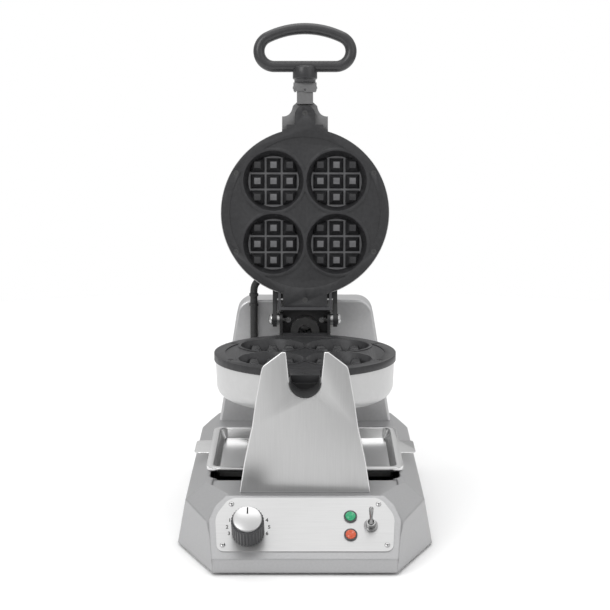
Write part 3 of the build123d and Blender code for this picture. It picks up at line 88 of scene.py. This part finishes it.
# Studio light: a big soft panel over the front left, a weaker one on the right, one above, and
# a pale room, brighter overhead than at eye level, that fills the shadows.
aim_at = Vector((0, 0, 0.22))
for panel_name, spot, wide, power in (
    ("key", (-1.6, -1.9, 1.9), 1.6, 24),
    ("fill", (1.9, -1.6, 1.2), 1.6, 5),
    ("top", (0.0, 0.5, 2.6), 2.0, 16),
):
    panel_light = bpy.data.lights.new(panel_name, "AREA")
    panel_light.size = wide
    panel_light.energy = power
    stand = bpy.data.objects.new(panel_name, panel_light)
    stand.location = spot
    stand.rotation_euler = (aim_at - Vector(spot)).to_track_quat("-Z", "Y").to_euler()
    bpy.context.collection.objects.link(stand)
eye_level_light = 0.5
overhead_light = 1.05
overhead_from = 0.9
background_light = 1.0
room = bpy.data.worlds.new("room")
room.use_nodes = True
bpy.context.scene.world = room
sky = room.node_tree
room_light = sky.nodes["Background"]
room_light.inputs["Color"].default_value = (1, 1, 1, 1)
facing = sky.nodes.new("ShaderNodeTexCoord")
height_of = sky.nodes.new("ShaderNodeSeparateXYZ")
sky.links.new(facing.outputs["Generated"], height_of.inputs["Vector"])
climb = sky.nodes.new("ShaderNodeMapRange")
climb.inputs["From Min"].default_value = 0.0
climb.inputs["From Max"].default_value = overhead_from
climb.inputs["To Min"].default_value = eye_level_light
climb.inputs["To Max"].default_value = overhead_light
sky.links.new(height_of.outputs["Z"], climb.inputs["Value"])
seen = sky.nodes.new("ShaderNodeLightPath")
level = sky.nodes.new("ShaderNodeMix")
level.inputs["B"].default_value = background_light
sky.links.new(seen.outputs["Is Camera Ray"], level.inputs["Factor"])
sky.links.new(climb.outputs["Result"], level.inputs["A"])
sky.links.new(level.outputs["Result"], room_light.inputs["Strength"])


# Cast base of the machine: sand-cast aluminium under satin silver paint, with a fine orange
# peel and softly rounded edges. Its facets, panel box and deck are the CAD solid's.
def grained(name, color, metallic, rough, scale, grain=0.04, stretch=(1, 1, 1), bump=0.05,
            edge=0.0, coat=0.0):
    """A finish whose colour, gloss and height all vary a little with one grain.

    scale says how fine the grain is, grain how far the colour varies, stretch how far it is
    drawn out along X, Y and Z. bump is its height in millimetres, edge the radius in metres by
    which sharp edges look worn, and coat the share of clear coat.
    """
    contrast = 2.5 * grain
    gloss_spread = 0.06
    cloud_scale = 9.0
    cloud_share = 0.35
    made = bpy.data.materials.new(name)
    made.use_nodes = True
    tree = made.node_tree
    shader = tree.nodes["Principled BSDF"]
    shader.inputs["Metallic"].default_value = metallic
    shader.inputs["Coat Weight"].default_value = coat
    where = tree.nodes.new("ShaderNodeTexCoord")
    lay = tree.nodes.new("ShaderNodeMapping")
    lay.inputs["Scale"].default_value = stretch
    tree.links.new(where.outputs["Object"], lay.inputs["Vector"])
    noise = tree.nodes.new("ShaderNodeTexNoise")
    noise.inputs["Scale"].default_value = scale
    noise.inputs["Detail"].default_value = 5.0
    tree.links.new(lay.outputs["Vector"], noise.inputs["Vector"])
    cloud = tree.nodes.new("ShaderNodeTexNoise")
    cloud.inputs["Scale"].default_value = cloud_scale
    tree.links.new(where.outputs["Object"], cloud.inputs["Vector"])
    tint = tree.nodes.new("ShaderNodeValToRGB")
    dark = [channel * (1 - contrast) for channel in color]
    light = [min(1.0, channel * (1 + contrast)) for channel in color]
    tint.color_ramp.elements[0].position = 0.3
    tint.color_ramp.elements[0].color = (*dark, 1)
    tint.color_ramp.elements[1].position = 0.7
    tint.color_ramp.elements[1].color = (*light, 1)
    mixed = tree.nodes.new("ShaderNodeMix")
    mixed.inputs["Factor"].default_value = cloud_share
    tree.links.new(noise.outputs["Fac"], mixed.inputs["A"])
    tree.links.new(cloud.outputs["Fac"], mixed.inputs["B"])
    tree.links.new(mixed.outputs["Result"], tint.inputs["Fac"])
    tree.links.new(tint.outputs["Color"], shader.inputs["Base Color"])
    gloss = tree.nodes.new("ShaderNodeMapRange")
    gloss.inputs["To Min"].default_value = max(0.02, rough - gloss_spread)
    gloss.inputs["To Max"].default_value = rough + gloss_spread
    tree.links.new(mixed.outputs["Result"], gloss.inputs["Value"])
    tree.links.new(gloss.outputs["Result"], shader.inputs["Roughness"])
    height = tree.nodes.new("ShaderNodeBump")
    height.inputs["Strength"].default_value = 1.0
    height.inputs["Distance"].default_value = bump * 0.001
    tree.links.new(noise.outputs["Fac"], height.inputs["Height"])
    if edge > 0:
        worn = tree.nodes.new("ShaderNodeBevel")
        worn.samples = 4
        worn.inputs["Radius"].default_value = edge
        tree.links.new(worn.outputs["Normal"], height.inputs["Normal"])
    tree.links.new(height.outputs["Normal"], shader.inputs["Normal"])
    return made


def dress(material, *nodes):
    """Gives a finish to CAD nodes as they are."""
    for node in nodes:
        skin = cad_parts[node].data
        skin.materials.clear()
        skin.materials.append(material)


silver_cast = grained("silver_cast", (0.40, 0.40, 0.405), 0.7, 0.34, grain=0.02, scale=420,
                      bump=0.06, edge=0.003)
dress(silver_cast, "base_housing")

# Rear tower with its cover, and the floor of the base: folded sheet steel in satin silver
# paint, screwed to the cast base.
silver_sheet = grained("silver_sheet", (0.54, 0.54, 0.545), 0.7, 0.33, grain=0.02, scale=300,
                       bump=0.03, edge=0.0012)
dress(silver_sheet, "rear_tower", "rear_cover", "bottom_plate")

# Casings of the two halves: spun steel pans painted silver with a soft sheen, each held by the
# screws at its waffle plate's rim.
casing_silver = grained("casing_silver", (0.56, 0.56, 0.56), 0.5, 0.3, grain=0.015, scale=160,
                        bump=0.02, edge=0.0008)
dress(casing_silver, "lower_casing", "upper_casing")


# Front support: heavy stainless plate, bent, brushed upright, its cut edges rolled, with a
# painted highlight in a brighter steel on their rounding.
# It stands on the deck, and its notch takes the handle's neck when the lid is shut.
def rounded(node, name, width, material, body, segments=3, angle=35.0, rim=None):
    """A merged copy of a CAD node with its corners rounded off, in the node's place.

    rim is a brighter material for the rounded edges, a painted highlight, where it isn't the
    material's own. Such edges keep their whole width, also where they are close together.
    """
    work = bmesh.new()
    work.from_mesh(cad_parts[node].data)
    bmesh.ops.remove_doubles(work, verts=work.verts[:], dist=0.00001)
    bmesh.ops.dissolve_limit(work, angle_limit=radians(1.0), verts=work.verts[:],
                             edges=work.edges[:])
    skin = bpy.data.meshes.new(name)
    work.to_mesh(skin)
    work.free()
    skin.materials.append(material)
    skin.materials.append(rim or material)
    skin.shade_smooth()
    made = bpy.data.objects.new(name, skin)
    bpy.context.collection.objects.link(made)
    soften = made.modifiers.new("rounding", "BEVEL")
    soften.limit_method = "ANGLE"
    soften.angle_limit = radians(angle)
    soften.width = width
    soften.segments = segments
    soften.harden_normals = True
    soften.use_clamp_overlap = rim is None
    soften.material = 1 if rim else -1
    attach(made, body)
    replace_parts(made, node)
    return made


brushed_plate = grained("brushed_plate", (0.50, 0.50, 0.50), 0.9, 0.34, grain=0.02, scale=60,
                        stretch=(14, 1, 0.5), bump=0.015)
# Brighter steel on the support's rounded edges: a painted highlight, not a different metal.
painted_edge_highlight = grained("painted_edge_highlight", (0.80, 0.80, 0.80), 0.8, 0.3, grain=0.01, scale=200)
rounded("front_support", "support_plate", 0.0009, brushed_plate, "base", rim=painted_edge_highlight)

# Notch liner behind the front support, and the hinge frame round the lid's rear tab: dark
# steel, bent from sheet and bar, with only thin worn edges.
liner_steel = grained("liner_steel", (0.09, 0.09, 0.095), 0.6, 0.4, grain=0.05, scale=150,
                      edge=0.0005)
dress(liner_steel, "notch_liner", "hinge_frame")

# Drip tray: polished stainless sheet, pressed into a basin with a bright flat rim and two
# finger ears. It lifts out of a pressed well that hangs below the deck, coloured near black as
# painted shade for the deep shadow under the tray's rim.
tray_steel = grained("tray_steel", (0.72, 0.72, 0.72), 1.0, 0.2, grain=0.02, scale=40,
                     stretch=(1, 12, 1), bump=0.008)
rounded("drip_tray", "tray", 0.0005, tray_steel, "tray", segments=2, angle=20.0)
# Near-black well: painted shade for the shadowed gap below the tray's rim.
well_painted_shade = grained("well_painted_shade", (0.06, 0.06, 0.06), 0.2, 0.5, grain=0.1, scale=200)
dress(well_painted_shade, "tray_well")

# Control plate: brushed stainless sheet, grained across, on the sloping panel. It is the CAD
# sheet laid flat, widened at its foot, its six corners rounded, and put back on the slope.
label_steel = grained("label_steel", (0.56, 0.56, 0.56), 0.9, 0.32, grain=0.02, scale=50,
                      stretch=(0.6, 22, 22), bump=0.01)
panel_slope = radians(42.5)
deck_z = axis_z - 0.117
panel_edge_y = plate_y - 0.172
panel_top = Vector((0, panel_edge_y, deck_z))
up_slope = Vector((0, cos(panel_slope), sin(panel_slope)))
out_of_panel = Vector((0, -sin(panel_slope), cos(panel_slope)))
plate_face = 3
foot_line = -0.065
foot_inside = 0.08
foot_widening = 88.5 / 84
corner_places = ((0.0775, -0.0035), (0.0915, -0.025), (0.0885, -0.066))
corner_radius = 0.007
corner_near = 0.0006
upright_within = 0.00002


def on_panel(across, down, out):
    """A turned place on the panel, in millimetres across, down its slope and out of it."""
    spot = panel_top + Vector((across, 0, 0)) / 1000 - up_slope * down / 1000
    spot += out_of_panel * out / 1000
    turn = Matrix(((1, 0, 0), (0, up_slope.y, out_of_panel.y), (0, up_slope.z, out_of_panel.z)))
    return Matrix.Translation(spot) @ turn.to_4x4()


def piece(name, work, material, body, smooth=True):
    """Turns a finished bmesh into a piece that rides on a body."""
    bmesh.ops.recalc_face_normals(work, faces=work.faces[:])
    skin = bpy.data.meshes.new(name)
    work.to_mesh(skin)
    work.free()
    skin.materials.append(material)
    if smooth:
        skin.shade_smooth()
    else:
        skin.shade_flat()
    made = bpy.data.objects.new(name, skin)
    bpy.context.collection.objects.link(made)
    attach(made, body)
    return made


def crisp(made, width=0.0003):
    """Rounds a piece's sharp edges a little."""
    soften = made.modifiers.new("rounding", "BEVEL")
    soften.limit_method = "ANGLE"
    soften.angle_limit = radians(30)
    soften.width = width
    soften.segments = 2
    soften.harden_normals = True


sheet = bmesh.new()
sheet.from_mesh(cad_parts["control_plate"].data)
bmesh.ops.transform(sheet, matrix=on_panel(0, 0, 0).inverted(), verts=sheet.verts[:])
bmesh.ops.remove_doubles(sheet, verts=sheet.verts[:], dist=0.00001)
bmesh.ops.dissolve_limit(sheet, angle_limit=radians(1), verts=sheet.verts[:],
                         edges=sheet.edges[:])
for spot in sheet.verts:
    if spot.co.y < foot_line and abs(spot.co.x) > foot_inside:
        spot.co.x *= foot_widening
corners = []
for edge in sheet.edges:
    low, high = (end.co for end in edge.verts)
    from_corner = min((Vector((abs(low.x), low.y)) - Vector(place)).length
                      for place in corner_places)
    if (low - high).xy.length < upright_within and from_corner < corner_near:
        corners.append(edge)
bmesh.ops.bevel(sheet, geom=corners, offset=corner_radius, segments=6, profile=0.5,
                affect="EDGES", material=-1)
bmesh.ops.transform(sheet, matrix=on_panel(0, 0, 0), verts=sheet.verts[:])
panel_piece = piece("control_panel", sheet, label_steel, "base", smooth=False)
crisp(panel_piece)
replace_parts(panel_piece, "control_plate")


# Pan-head screws of the control plate: turned steel, bright plated, each with a black cross on
# its head as painted shade for its cross recess.
# The other plated screws, the fold pin, the gland's nut and the switch's body match them.
def lathe(profile, steps=64):
    """A turned piece about its own Z: a profile of (radius, height) in millimetres, spun once."""
    work = bmesh.new()
    spots = [work.verts.new((r / 1000, 0, h / 1000)) for r, h in profile]
    for a, b in zip(spots, spots[1:]):
        work.edges.new((a, b))
    bmesh.ops.spin(work, geom=work.verts[:] + work.edges[:], cent=(0, 0, 0), axis=(0, 0, 1),
                   angle=2 * pi, steps=steps, use_merge=True, use_duplicate=False)
    bmesh.ops.remove_doubles(work, verts=work.verts[:], dist=0.000002)
    return work


bright = grained("bright_plate", (0.50, 0.50, 0.50), 1.0, 0.24, grain=0.02, scale=250,
                 edge=0.0003)
dress(bright, "base_screws", "rear_cover_screws", "tower_screws", "front_support_screws",
      "bracket_screws", "yoke_screws", "fold_pin", "gland_nut", "toggle_body")
# Near-black: ink for the dial's numbers and the knob's line, and painted shade for the screws'
# recesses.
ink_and_painted_shade = grained("ink_and_painted_shade", (0.02, 0.02, 0.02), 0.0, 0.7, scale=300)
screw_profile = [(0, -0.4), (2.8, -0.4), (2.8, 0.35), (2.2, 0.9), (1.2, 1.15), (0, 1.2)]
screw_spots = ((-75.2, 11), (75.2, 11), (-82.9, 58.8), (82.9, 58.8))
cross_turn = 0.3
cross_rise = 1.05
cross_arm = (0.0028, 0.0005, 0.0004)
for number, (across, down) in enumerate(screw_spots):
    head = lathe(screw_profile, 32)
    bmesh.ops.transform(head, matrix=on_panel(across, down, plate_face), verts=head.verts[:])
    top = piece(f"panel_screw_{number + 1}", head, bright, "base")
    if number == 0:
        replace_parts(top, "control_plate_screws")
    # A black cross set on each head's top: painted shade in place of a cut recess.
    cross = bmesh.new()
    for turn in (cross_turn, cross_turn + pi / 2):
        bar = bmesh.ops.create_cube(cross, size=1.0)["verts"]
        bmesh.ops.scale(cross, vec=cross_arm, verts=bar)
        bmesh.ops.rotate(cross, matrix=Matrix.Rotation(turn, 3, "Z"), verts=bar)
    bmesh.ops.transform(cross, matrix=on_panel(across, down, plate_face + cross_rise),
                        verts=cross.verts[:])
    piece(f"panel_screw_cross_{number + 1}", cross, ink_and_painted_shade, "base", smooth=False)

# Thermostat knob: moulded black skirt with thirty-two rounded ribs and a bright spun cap, on
# which a black line points at the dial. It sits on the thermostat's steel spindle.
knob_black = grained("knob_black", (0.055, 0.055, 0.058), 0.2, 0.36, grain=0.1, scale=220)
knob_across, knob_down = -57.6, 44
knob_gap = 0.4
skirt_radius, skirt_height = 0.0162, 0.0226
ribs, rib_depth, groove_floor = 32, 0.03, -0.6
shoulder_height, shoulder_taper = 0.001, 0.94
cap_profile = [(0, 0), (14.5, 0), (14.5, 2.6), (14.2, 3.1), (13.6, 3.4), (0, 3.4)]
cap_seat = 27
pointer_bar = (0.0015, 0.0075, 0.0003)
pointer_reach, pointer_seat = 9.2, 30.35
skirt = bmesh.new()
bmesh.ops.create_circle(skirt, cap_ends=True, segments=192, radius=skirt_radius)
for spot in skirt.verts:
    angle = atan2(spot.co.y, spot.co.x)
    spot.co *= 1 + rib_depth * max(groove_floor, cos(ribs * angle))
grown = bmesh.ops.extrude_face_region(skirt, geom=skirt.faces[:])
side_top = [v for v in grown["geom"] if isinstance(v, bmesh.types.BMVert)]
bmesh.ops.translate(skirt, vec=(0, 0, skirt_height), verts=side_top)
top_face = [f for f in grown["geom"] if isinstance(f, bmesh.types.BMFace)]
shoulder = bmesh.ops.extrude_face_region(skirt, geom=top_face)
lip = [v for v in shoulder["geom"] if isinstance(v, bmesh.types.BMVert)]
bmesh.ops.translate(skirt, vec=(0, 0, shoulder_height), verts=lip)
bmesh.ops.scale(skirt, vec=(shoulder_taper, shoulder_taper, 1), verts=lip)
bmesh.ops.transform(skirt, matrix=on_panel(knob_across, knob_down, plate_face + knob_gap),
                    verts=skirt.verts[:])
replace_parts(piece("knob_skirt", skirt, knob_black, "knob", smooth=False), "knob")
cap_steel = grained("cap_steel", (0.54, 0.54, 0.54), 1.0, 0.3, grain=0.004, scale=60, bump=0.0)
cap = lathe(cap_profile, 96)
bmesh.ops.transform(cap, matrix=on_panel(knob_across, knob_down, cap_seat), verts=cap.verts[:])
cap_piece = piece("knob_top", cap, cap_steel, "knob")
crisp(cap_piece)
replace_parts(cap_piece, "knob_cap")
line = bmesh.new()
bmesh.ops.create_cube(line, size=1.0)
bmesh.ops.scale(line, vec=pointer_bar, verts=line.verts[:])
bmesh.ops.transform(line, matrix=on_panel(knob_across, knob_down - pointer_reach, pointer_seat),
                    verts=line.verts[:])
piece("knob_pointer", line, ink_and_painted_shade, "knob", smooth=False)
dress(cap_steel, "thermostat_spindle")

# Dial numbers, one to six: black ink screened on the control plate, three on each side of the
# knob. Each is a text made a flat mesh, a hair thick.
number_spots = ((-18.9, 14), (-21.3, 6), (-19.2, -1.5), (18.9, 14), (21.3, 6), (19.2, -1.5))
number_rise = 0.06
for number, (across, up) in enumerate(number_spots):
    figure = bpy.data.curves.new(f"dial_{number + 1}", "FONT")
    figure.body = str(number + 1)
    figure.size = 0.0056
    figure.offset = 0.00012
    figure.align_x = "CENTER"
    figure.align_y = "CENTER"
    figure.extrude = 0.00004
    drawn = bpy.data.objects.new(f"dial_text_{number + 1}", figure)
    bpy.context.collection.objects.link(drawn)
    bpy.context.view_layer.update()
    flat = bpy.data.meshes.new_from_object(drawn)
    bpy.data.objects.remove(drawn)
    flat.transform(on_panel(knob_across + across, knob_down - up, plate_face + number_rise))
    flat.materials.clear()
    flat.materials.append(ink_and_painted_shade)
    numeral = bpy.data.objects.new(f"dial_number_{number + 1}", flat)
    bpy.context.collection.objects.link(numeral)
    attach(numeral, "base")

# Pilot lamps: ribbed acrylic lenses, moulded, with a faint glow, green above and orange below.
# Each stands in a dark moulded bezel that clips into the control plate.
lamp_across = 46.2
lens_profile = [(0, -5), (5.4, -5), (5.4, 1.7), (5.0, 2.4), (4.2, 2.5), (3.6, 2.2), (2.8, 2.6),
                (2.0, 2.3), (1.2, 2.8), (0, 2.9)]
dress(knob_black, "lamp_bezels")
for lamp_name, node, down, color in (
    ("green_lamp", "ready_lamp", 26.0, (0.01, 0.30, 0.13)),
    ("orange_lamp", "power_lamp", 47.2, (0.50, 0.07, 0.02)),
):
    lens_plastic = grained(lamp_name, color, 0.0, 0.18, grain=0.08, scale=500, coat=0.6)
    glow = lens_plastic.node_tree.nodes["Principled BSDF"]
    glow.inputs["Emission Color"].default_value = (*color, 1)
    glow.inputs["Emission Strength"].default_value = 0.1
    lens = lathe(lens_profile, 12)
    bmesh.ops.transform(lens, matrix=on_panel(lamp_across, down, plate_face),
                        verts=lens.verts[:])
    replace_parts(piece(lamp_name, lens, lens_plastic, "base", smooth=False), node)

# Toggle switch: a plated bushing clamped to the control plate by a knurled ring nut, and a
# turned bat lever that leans up the slope.
switch_steel = grained("switch_steel", (0.30, 0.30, 0.30), 1.0, 0.22, grain=0.02, scale=250)
switch_across, switch_down = 66.7, 36.6
nut_bore, nut_radius, nut_thickness = 0.0046, 0.0071, 0.0024
knurls, knurl_depth = 24, 0.03
lever_profile = [(0, -3), (1.8, -2.4), (2.8, -1), (3, 0), (2.7, 1.2), (1.7, 2.4), (1.5, 4),
                 (1.8, 9), (2.25, 14.5), (2.3, 17), (1.9, 18.4), (1.0, 19.1), (0, 19.3)]
lever_pivot = 10
lever_lean = radians(-22)
nut = bmesh.new()
bmesh.ops.create_circle(nut, cap_ends=False, segments=72, radius=nut_bore)
outer = bmesh.ops.extrude_edge_only(nut, edges=nut.edges[:])
outer_verts = [v for v in outer["geom"] if isinstance(v, bmesh.types.BMVert)]
bmesh.ops.scale(nut, vec=(nut_radius / nut_bore, nut_radius / nut_bore, 1), verts=outer_verts)
for spot in outer_verts:
    spot.co *= 1 - knurl_depth * (1 + cos(knurls * atan2(spot.co.y, spot.co.x))) / 2
wall = bmesh.ops.extrude_face_region(nut, geom=nut.faces[:])
bmesh.ops.translate(nut, vec=(0, 0, nut_thickness),
                    verts=[v for v in wall["geom"] if isinstance(v, bmesh.types.BMVert)])
bmesh.ops.transform(nut, matrix=on_panel(switch_across, switch_down, plate_face),
                    verts=nut.verts[:])
nut_piece = piece("switch_nut", nut, switch_steel, "base", smooth=False)
crisp(nut_piece, 0.0002)
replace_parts(nut_piece, "toggle_nut")
lever = lathe(lever_profile, 32)
lean = on_panel(switch_across, switch_down, lever_pivot) @ Matrix.Rotation(lever_lean, 4, "X")
bmesh.ops.transform(lever, matrix=lean, verts=lever.verts[:])
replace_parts(piece("switch_lever", lever, switch_steel, "toggle"), "toggle_lever")

# Waffle plates: cast iron, dark gray, seasoned, a little rough, with dark countersunk screws.
# The flat tops of the middle studs and the floor lines between them are painted in a paler iron.
hinge = Vector((0, plate_y + 0.1259, axis_z + 0.0135))
lid_opening = radians(-99)
swing = (Matrix.Translation(hinge) @ Matrix.Rotation(lid_opening, 4, "X")
         @ Matrix.Translation(-hinge))
cavity_center = 0.0371
stud_field = 0.012
stud_depth = 0.0049
floor_depth = 0.0154
depth_within = 0.0002
level_from = 0.98
iron = grained("iron", (0.034, 0.034, 0.036), 0.3, 0.44, grain=0.08, scale=260, bump=0.05)
pale_iron = grained("pale_iron", (0.15, 0.15, 0.155), 0.5, 0.4, grain=0.06, scale=260,
                      bump=0.03)
for node, name, body, closed in (
    ("upper_plate", "upper_waffle_iron", "lid", swing.inverted()),
    ("lower_plate", "lower_waffle_iron", "rotor", Matrix.Identity(4)),
):
    plate = rounded(node, name, 0.0005, iron, body, segments=2, angle=28.0)
    # Flat faces at the stud-top and floor depths take the paler iron.
    plate.data.materials[1] = pale_iron
    for face in plate.data.polygons:
        middle = closed @ face.center
        depth = abs(middle.z - axis_z)
        level_face = abs((closed.to_3x3() @ face.normal).z) > level_from
        off_center = min(abs(abs(middle.x) - cavity_center),
                         abs(abs(middle.y - plate_y) - cavity_center))
        stud_top = abs(depth - stud_depth) < depth_within and off_center < stud_field
        if level_face and (stud_top or abs(depth - floor_depth) < depth_within):
            face.material_index = 1
screw_dark = grained("screw_dark", (0.10, 0.10, 0.10), 0.8, 0.4, grain=0.05, scale=250,
                     edge=0.0003)
dress(screw_dark, "upper_plate_screws", "lower_plate_screws")

# Hinge ironwork: the yoke on the shaft, the saddle bracket behind the lid with its two arms,
# and the front trough below the plates' tabs, all steel under black paint.
black_iron = grained("black_iron", (0.022, 0.022, 0.023), 0.1, 0.42, grain=0.1, scale=240,
                     bump=0.08, edge=0.0008)
dress(black_iron, "hinge_yoke", "hinge_bracket", "front_trough")

# Small moulded parts of dark plastic: the bush in the shaft's mouth, the gland at the back, and
# the thermostat, buzzer and terminal block fixed inside the base.
dark_plastic = grained("dark_plastic", (0.03, 0.03, 0.03), 0.0, 0.5, grain=0.1, scale=200)
dress(dark_plastic, "shaft_bush", "cord_gland", "thermostat", "buzzer", "terminal_block")

# Turned steel: the hollow shaft that carries both halves, its retaining ring and stop pin in
# the tower, the spacers of the hinge and the temperature sensor.
turned = grained("turned_steel", (0.5, 0.5, 0.5), 1.0, 0.3, grain=0.03, scale=200, edge=0.0004)
dress(turned, "rotor_shaft", "retaining_ring", "stop_pin", "hinge_spacers", "temperature_sensor")

# Heaters: a ring element in a steel sheath, browned by heat, bent from straight stock and held
# in the casing behind each waffle plate.
sheath = grained("heater_sheath", (0.16, 0.14, 0.13), 0.9, 0.5, grain=0.08, scale=140)
dress(sheath, "lower_heater", "upper_heater")

# Bearing bush: turned bronze with a flange, pressed into the front of the tower, where the
# shaft turns in it.
bronze = grained("bronze", (0.45, 0.30, 0.14), 1.0, 0.4, grain=0.05, scale=160)
dress(bronze, "bearing_bush")

# Feet: four moulded pads of black rubber, held by stems through the floor of the base, that
# keep the machine from sliding.
foot_rubber = grained("foot_rubber", (0.02, 0.02, 0.02), 0.0, 0.75, grain=0.1, scale=300)
dress(foot_rubber, "rubber_feet")

# Hinge bolts: plated steel, each domed head turned in one with its shank. They go in from both
# sides through the yoke's cheeks and the lid's arms.
bolt_profile = [(0, 22.4), (4, 22.4), (4, 38.2), (6.5, 38.2), (6.5, 39.4), (5.9, 41.0),
                (4.4, 42.2), (2.2, 42.8), (0, 42.9)]
for side, hand in ((-1, "left"), (1, "right")):
    bolt = lathe(bolt_profile, 48)
    outward = Matrix.Translation(hinge) @ Matrix.Rotation(side * pi / 2, 4, "Y")
    bmesh.ops.transform(bolt, matrix=outward, verts=bolt.verts[:])
    shown = piece(f"hinge_bolt_{hand}", bolt, bright, "rotor")
    if side < 0:
        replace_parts(shown, "hinge_bolts")

# Wing bracket on the lid's front tab, and the channel that the handle folds in: bent steel in
# gray paint, edges rounded by the press. The latch button in the channel is dark steel.
gray_paint = grained("gray_paint", (0.19, 0.19, 0.192), 0.45, 0.38, grain=0.04, scale=220,
                     bump=0.05)
rounded("wing_bracket", "wing_plate", 0.0009, gray_paint, "lid")
rounded("handle_socket", "handle_channel", 0.0006, gray_paint, "handle")
dress(liner_steel, "latch_button")

# Handle: a black moulded D-loop on a round collar and neck, semi-gloss, one smooth bar. It is
# drawn as with the lid shut, then swung back with it by 99 degrees.
handle_black = grained("handle_black", (0.028, 0.028, 0.03), 0.0, 0.33, grain=0.08, scale=180,
                       bump=0.03, coat=0.15)
bar_radius = 0.00665
bar_near = -0.1709
straight_half = 0.036
corner_y, corner_sweep = -0.1889, radians(154.03)
far_arc_y, far_arc_sweep = -0.11498, radians(25.97)
collar_profile = [(0, 151.7), (12.1, 151.7), (12.5, 152.1), (12.5, 155.6), (13.4, 156.0),
                  (14.1, 156.5), (14.35, 157.2), (14.35, 167.2), (14.1, 168.9), (13.2, 170.2),
                  (11.6, 170.9), (0, 171)]
loop = bmesh.new()
ring = bmesh.ops.create_circle(loop, segments=32, radius=bar_radius)["verts"]
bmesh.ops.rotate(loop, matrix=Matrix.Rotation(pi / 2, 3, "Y"), verts=ring)
bmesh.ops.translate(loop, vec=(0, bar_near, 0), verts=ring)
straight = bmesh.ops.extrude_edge_only(loop, edges=loop.edges[:])
ring = [v for v in straight["geom"] if isinstance(v, bmesh.types.BMVert)]
bmesh.ops.translate(loop, vec=(straight_half, 0, 0), verts=ring)
ring_edges = [e for e in loop.edges if e.verts[0] in ring and e.verts[1] in ring]
corner = bmesh.ops.spin(loop, geom=ring + ring_edges, cent=(straight_half, corner_y, 0),
                        axis=(0, 0, 1), angle=-corner_sweep, steps=28)
bmesh.ops.spin(loop, geom=corner["geom_last"], cent=(0, far_arc_y, 0), axis=(0, 0, 1),
               angle=-far_arc_sweep, steps=12)
bmesh.ops.mirror(loop, geom=loop.verts[:] + loop.edges[:] + loop.faces[:],
                 matrix=Matrix.Identity(4), merge_dist=0.00002, axis="X")
bmesh.ops.remove_doubles(loop, verts=loop.verts[:], dist=0.00002)
closed_place = Matrix.Translation((0, plate_y, axis_z))
bmesh.ops.transform(loop, matrix=swing @ closed_place, verts=loop.verts[:])
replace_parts(piece("handle_bar", loop, handle_black, "handle"), "handle_loop")
collar = lathe(collar_profile)
bmesh.ops.transform(collar, matrix=swing @ closed_place @ Matrix.Rotation(pi / 2, 4, "X"),
                    verts=collar.verts[:])
piece("handle_collar", collar, handle_black, "handle")

# Heater lead: a black glass-braid sleeve from the lower casing to the lid's, with two plastic
# ties. It is cut into short rings across its height.
sleeve = grained("braid_sleeve", (0.03, 0.03, 0.03), 0.0, 0.7, grain=0.2, scale=900, bump=0.25)
first_cut = axis_z - 0.022
cuts, cut_height = 26, 0.003
for node, name, material in (
    ("heater_lead", "lead_sleeve", sleeve),
    ("cable_ties", "lead_ties", dark_plastic),
):
    lead = bmesh.new()
    lead.from_mesh(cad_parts[node].data)
    for cut in range(cuts):
        bmesh.ops.bisect_plane(lead, geom=lead.verts[:] + lead.edges[:] + lead.faces[:],
                               plane_co=(0, 0, first_cut + cut_height * cut),
                               plane_no=(0, 0, 1))
    skin = bpy.data.meshes.new(name)
    lead.to_mesh(skin)
    lead.free()
    skin.materials.append(material)
    bent = bpy.data.objects.new(name, skin)
    bpy.context.collection.objects.link(bent)
    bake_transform(bent)
    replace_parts(bent, node)
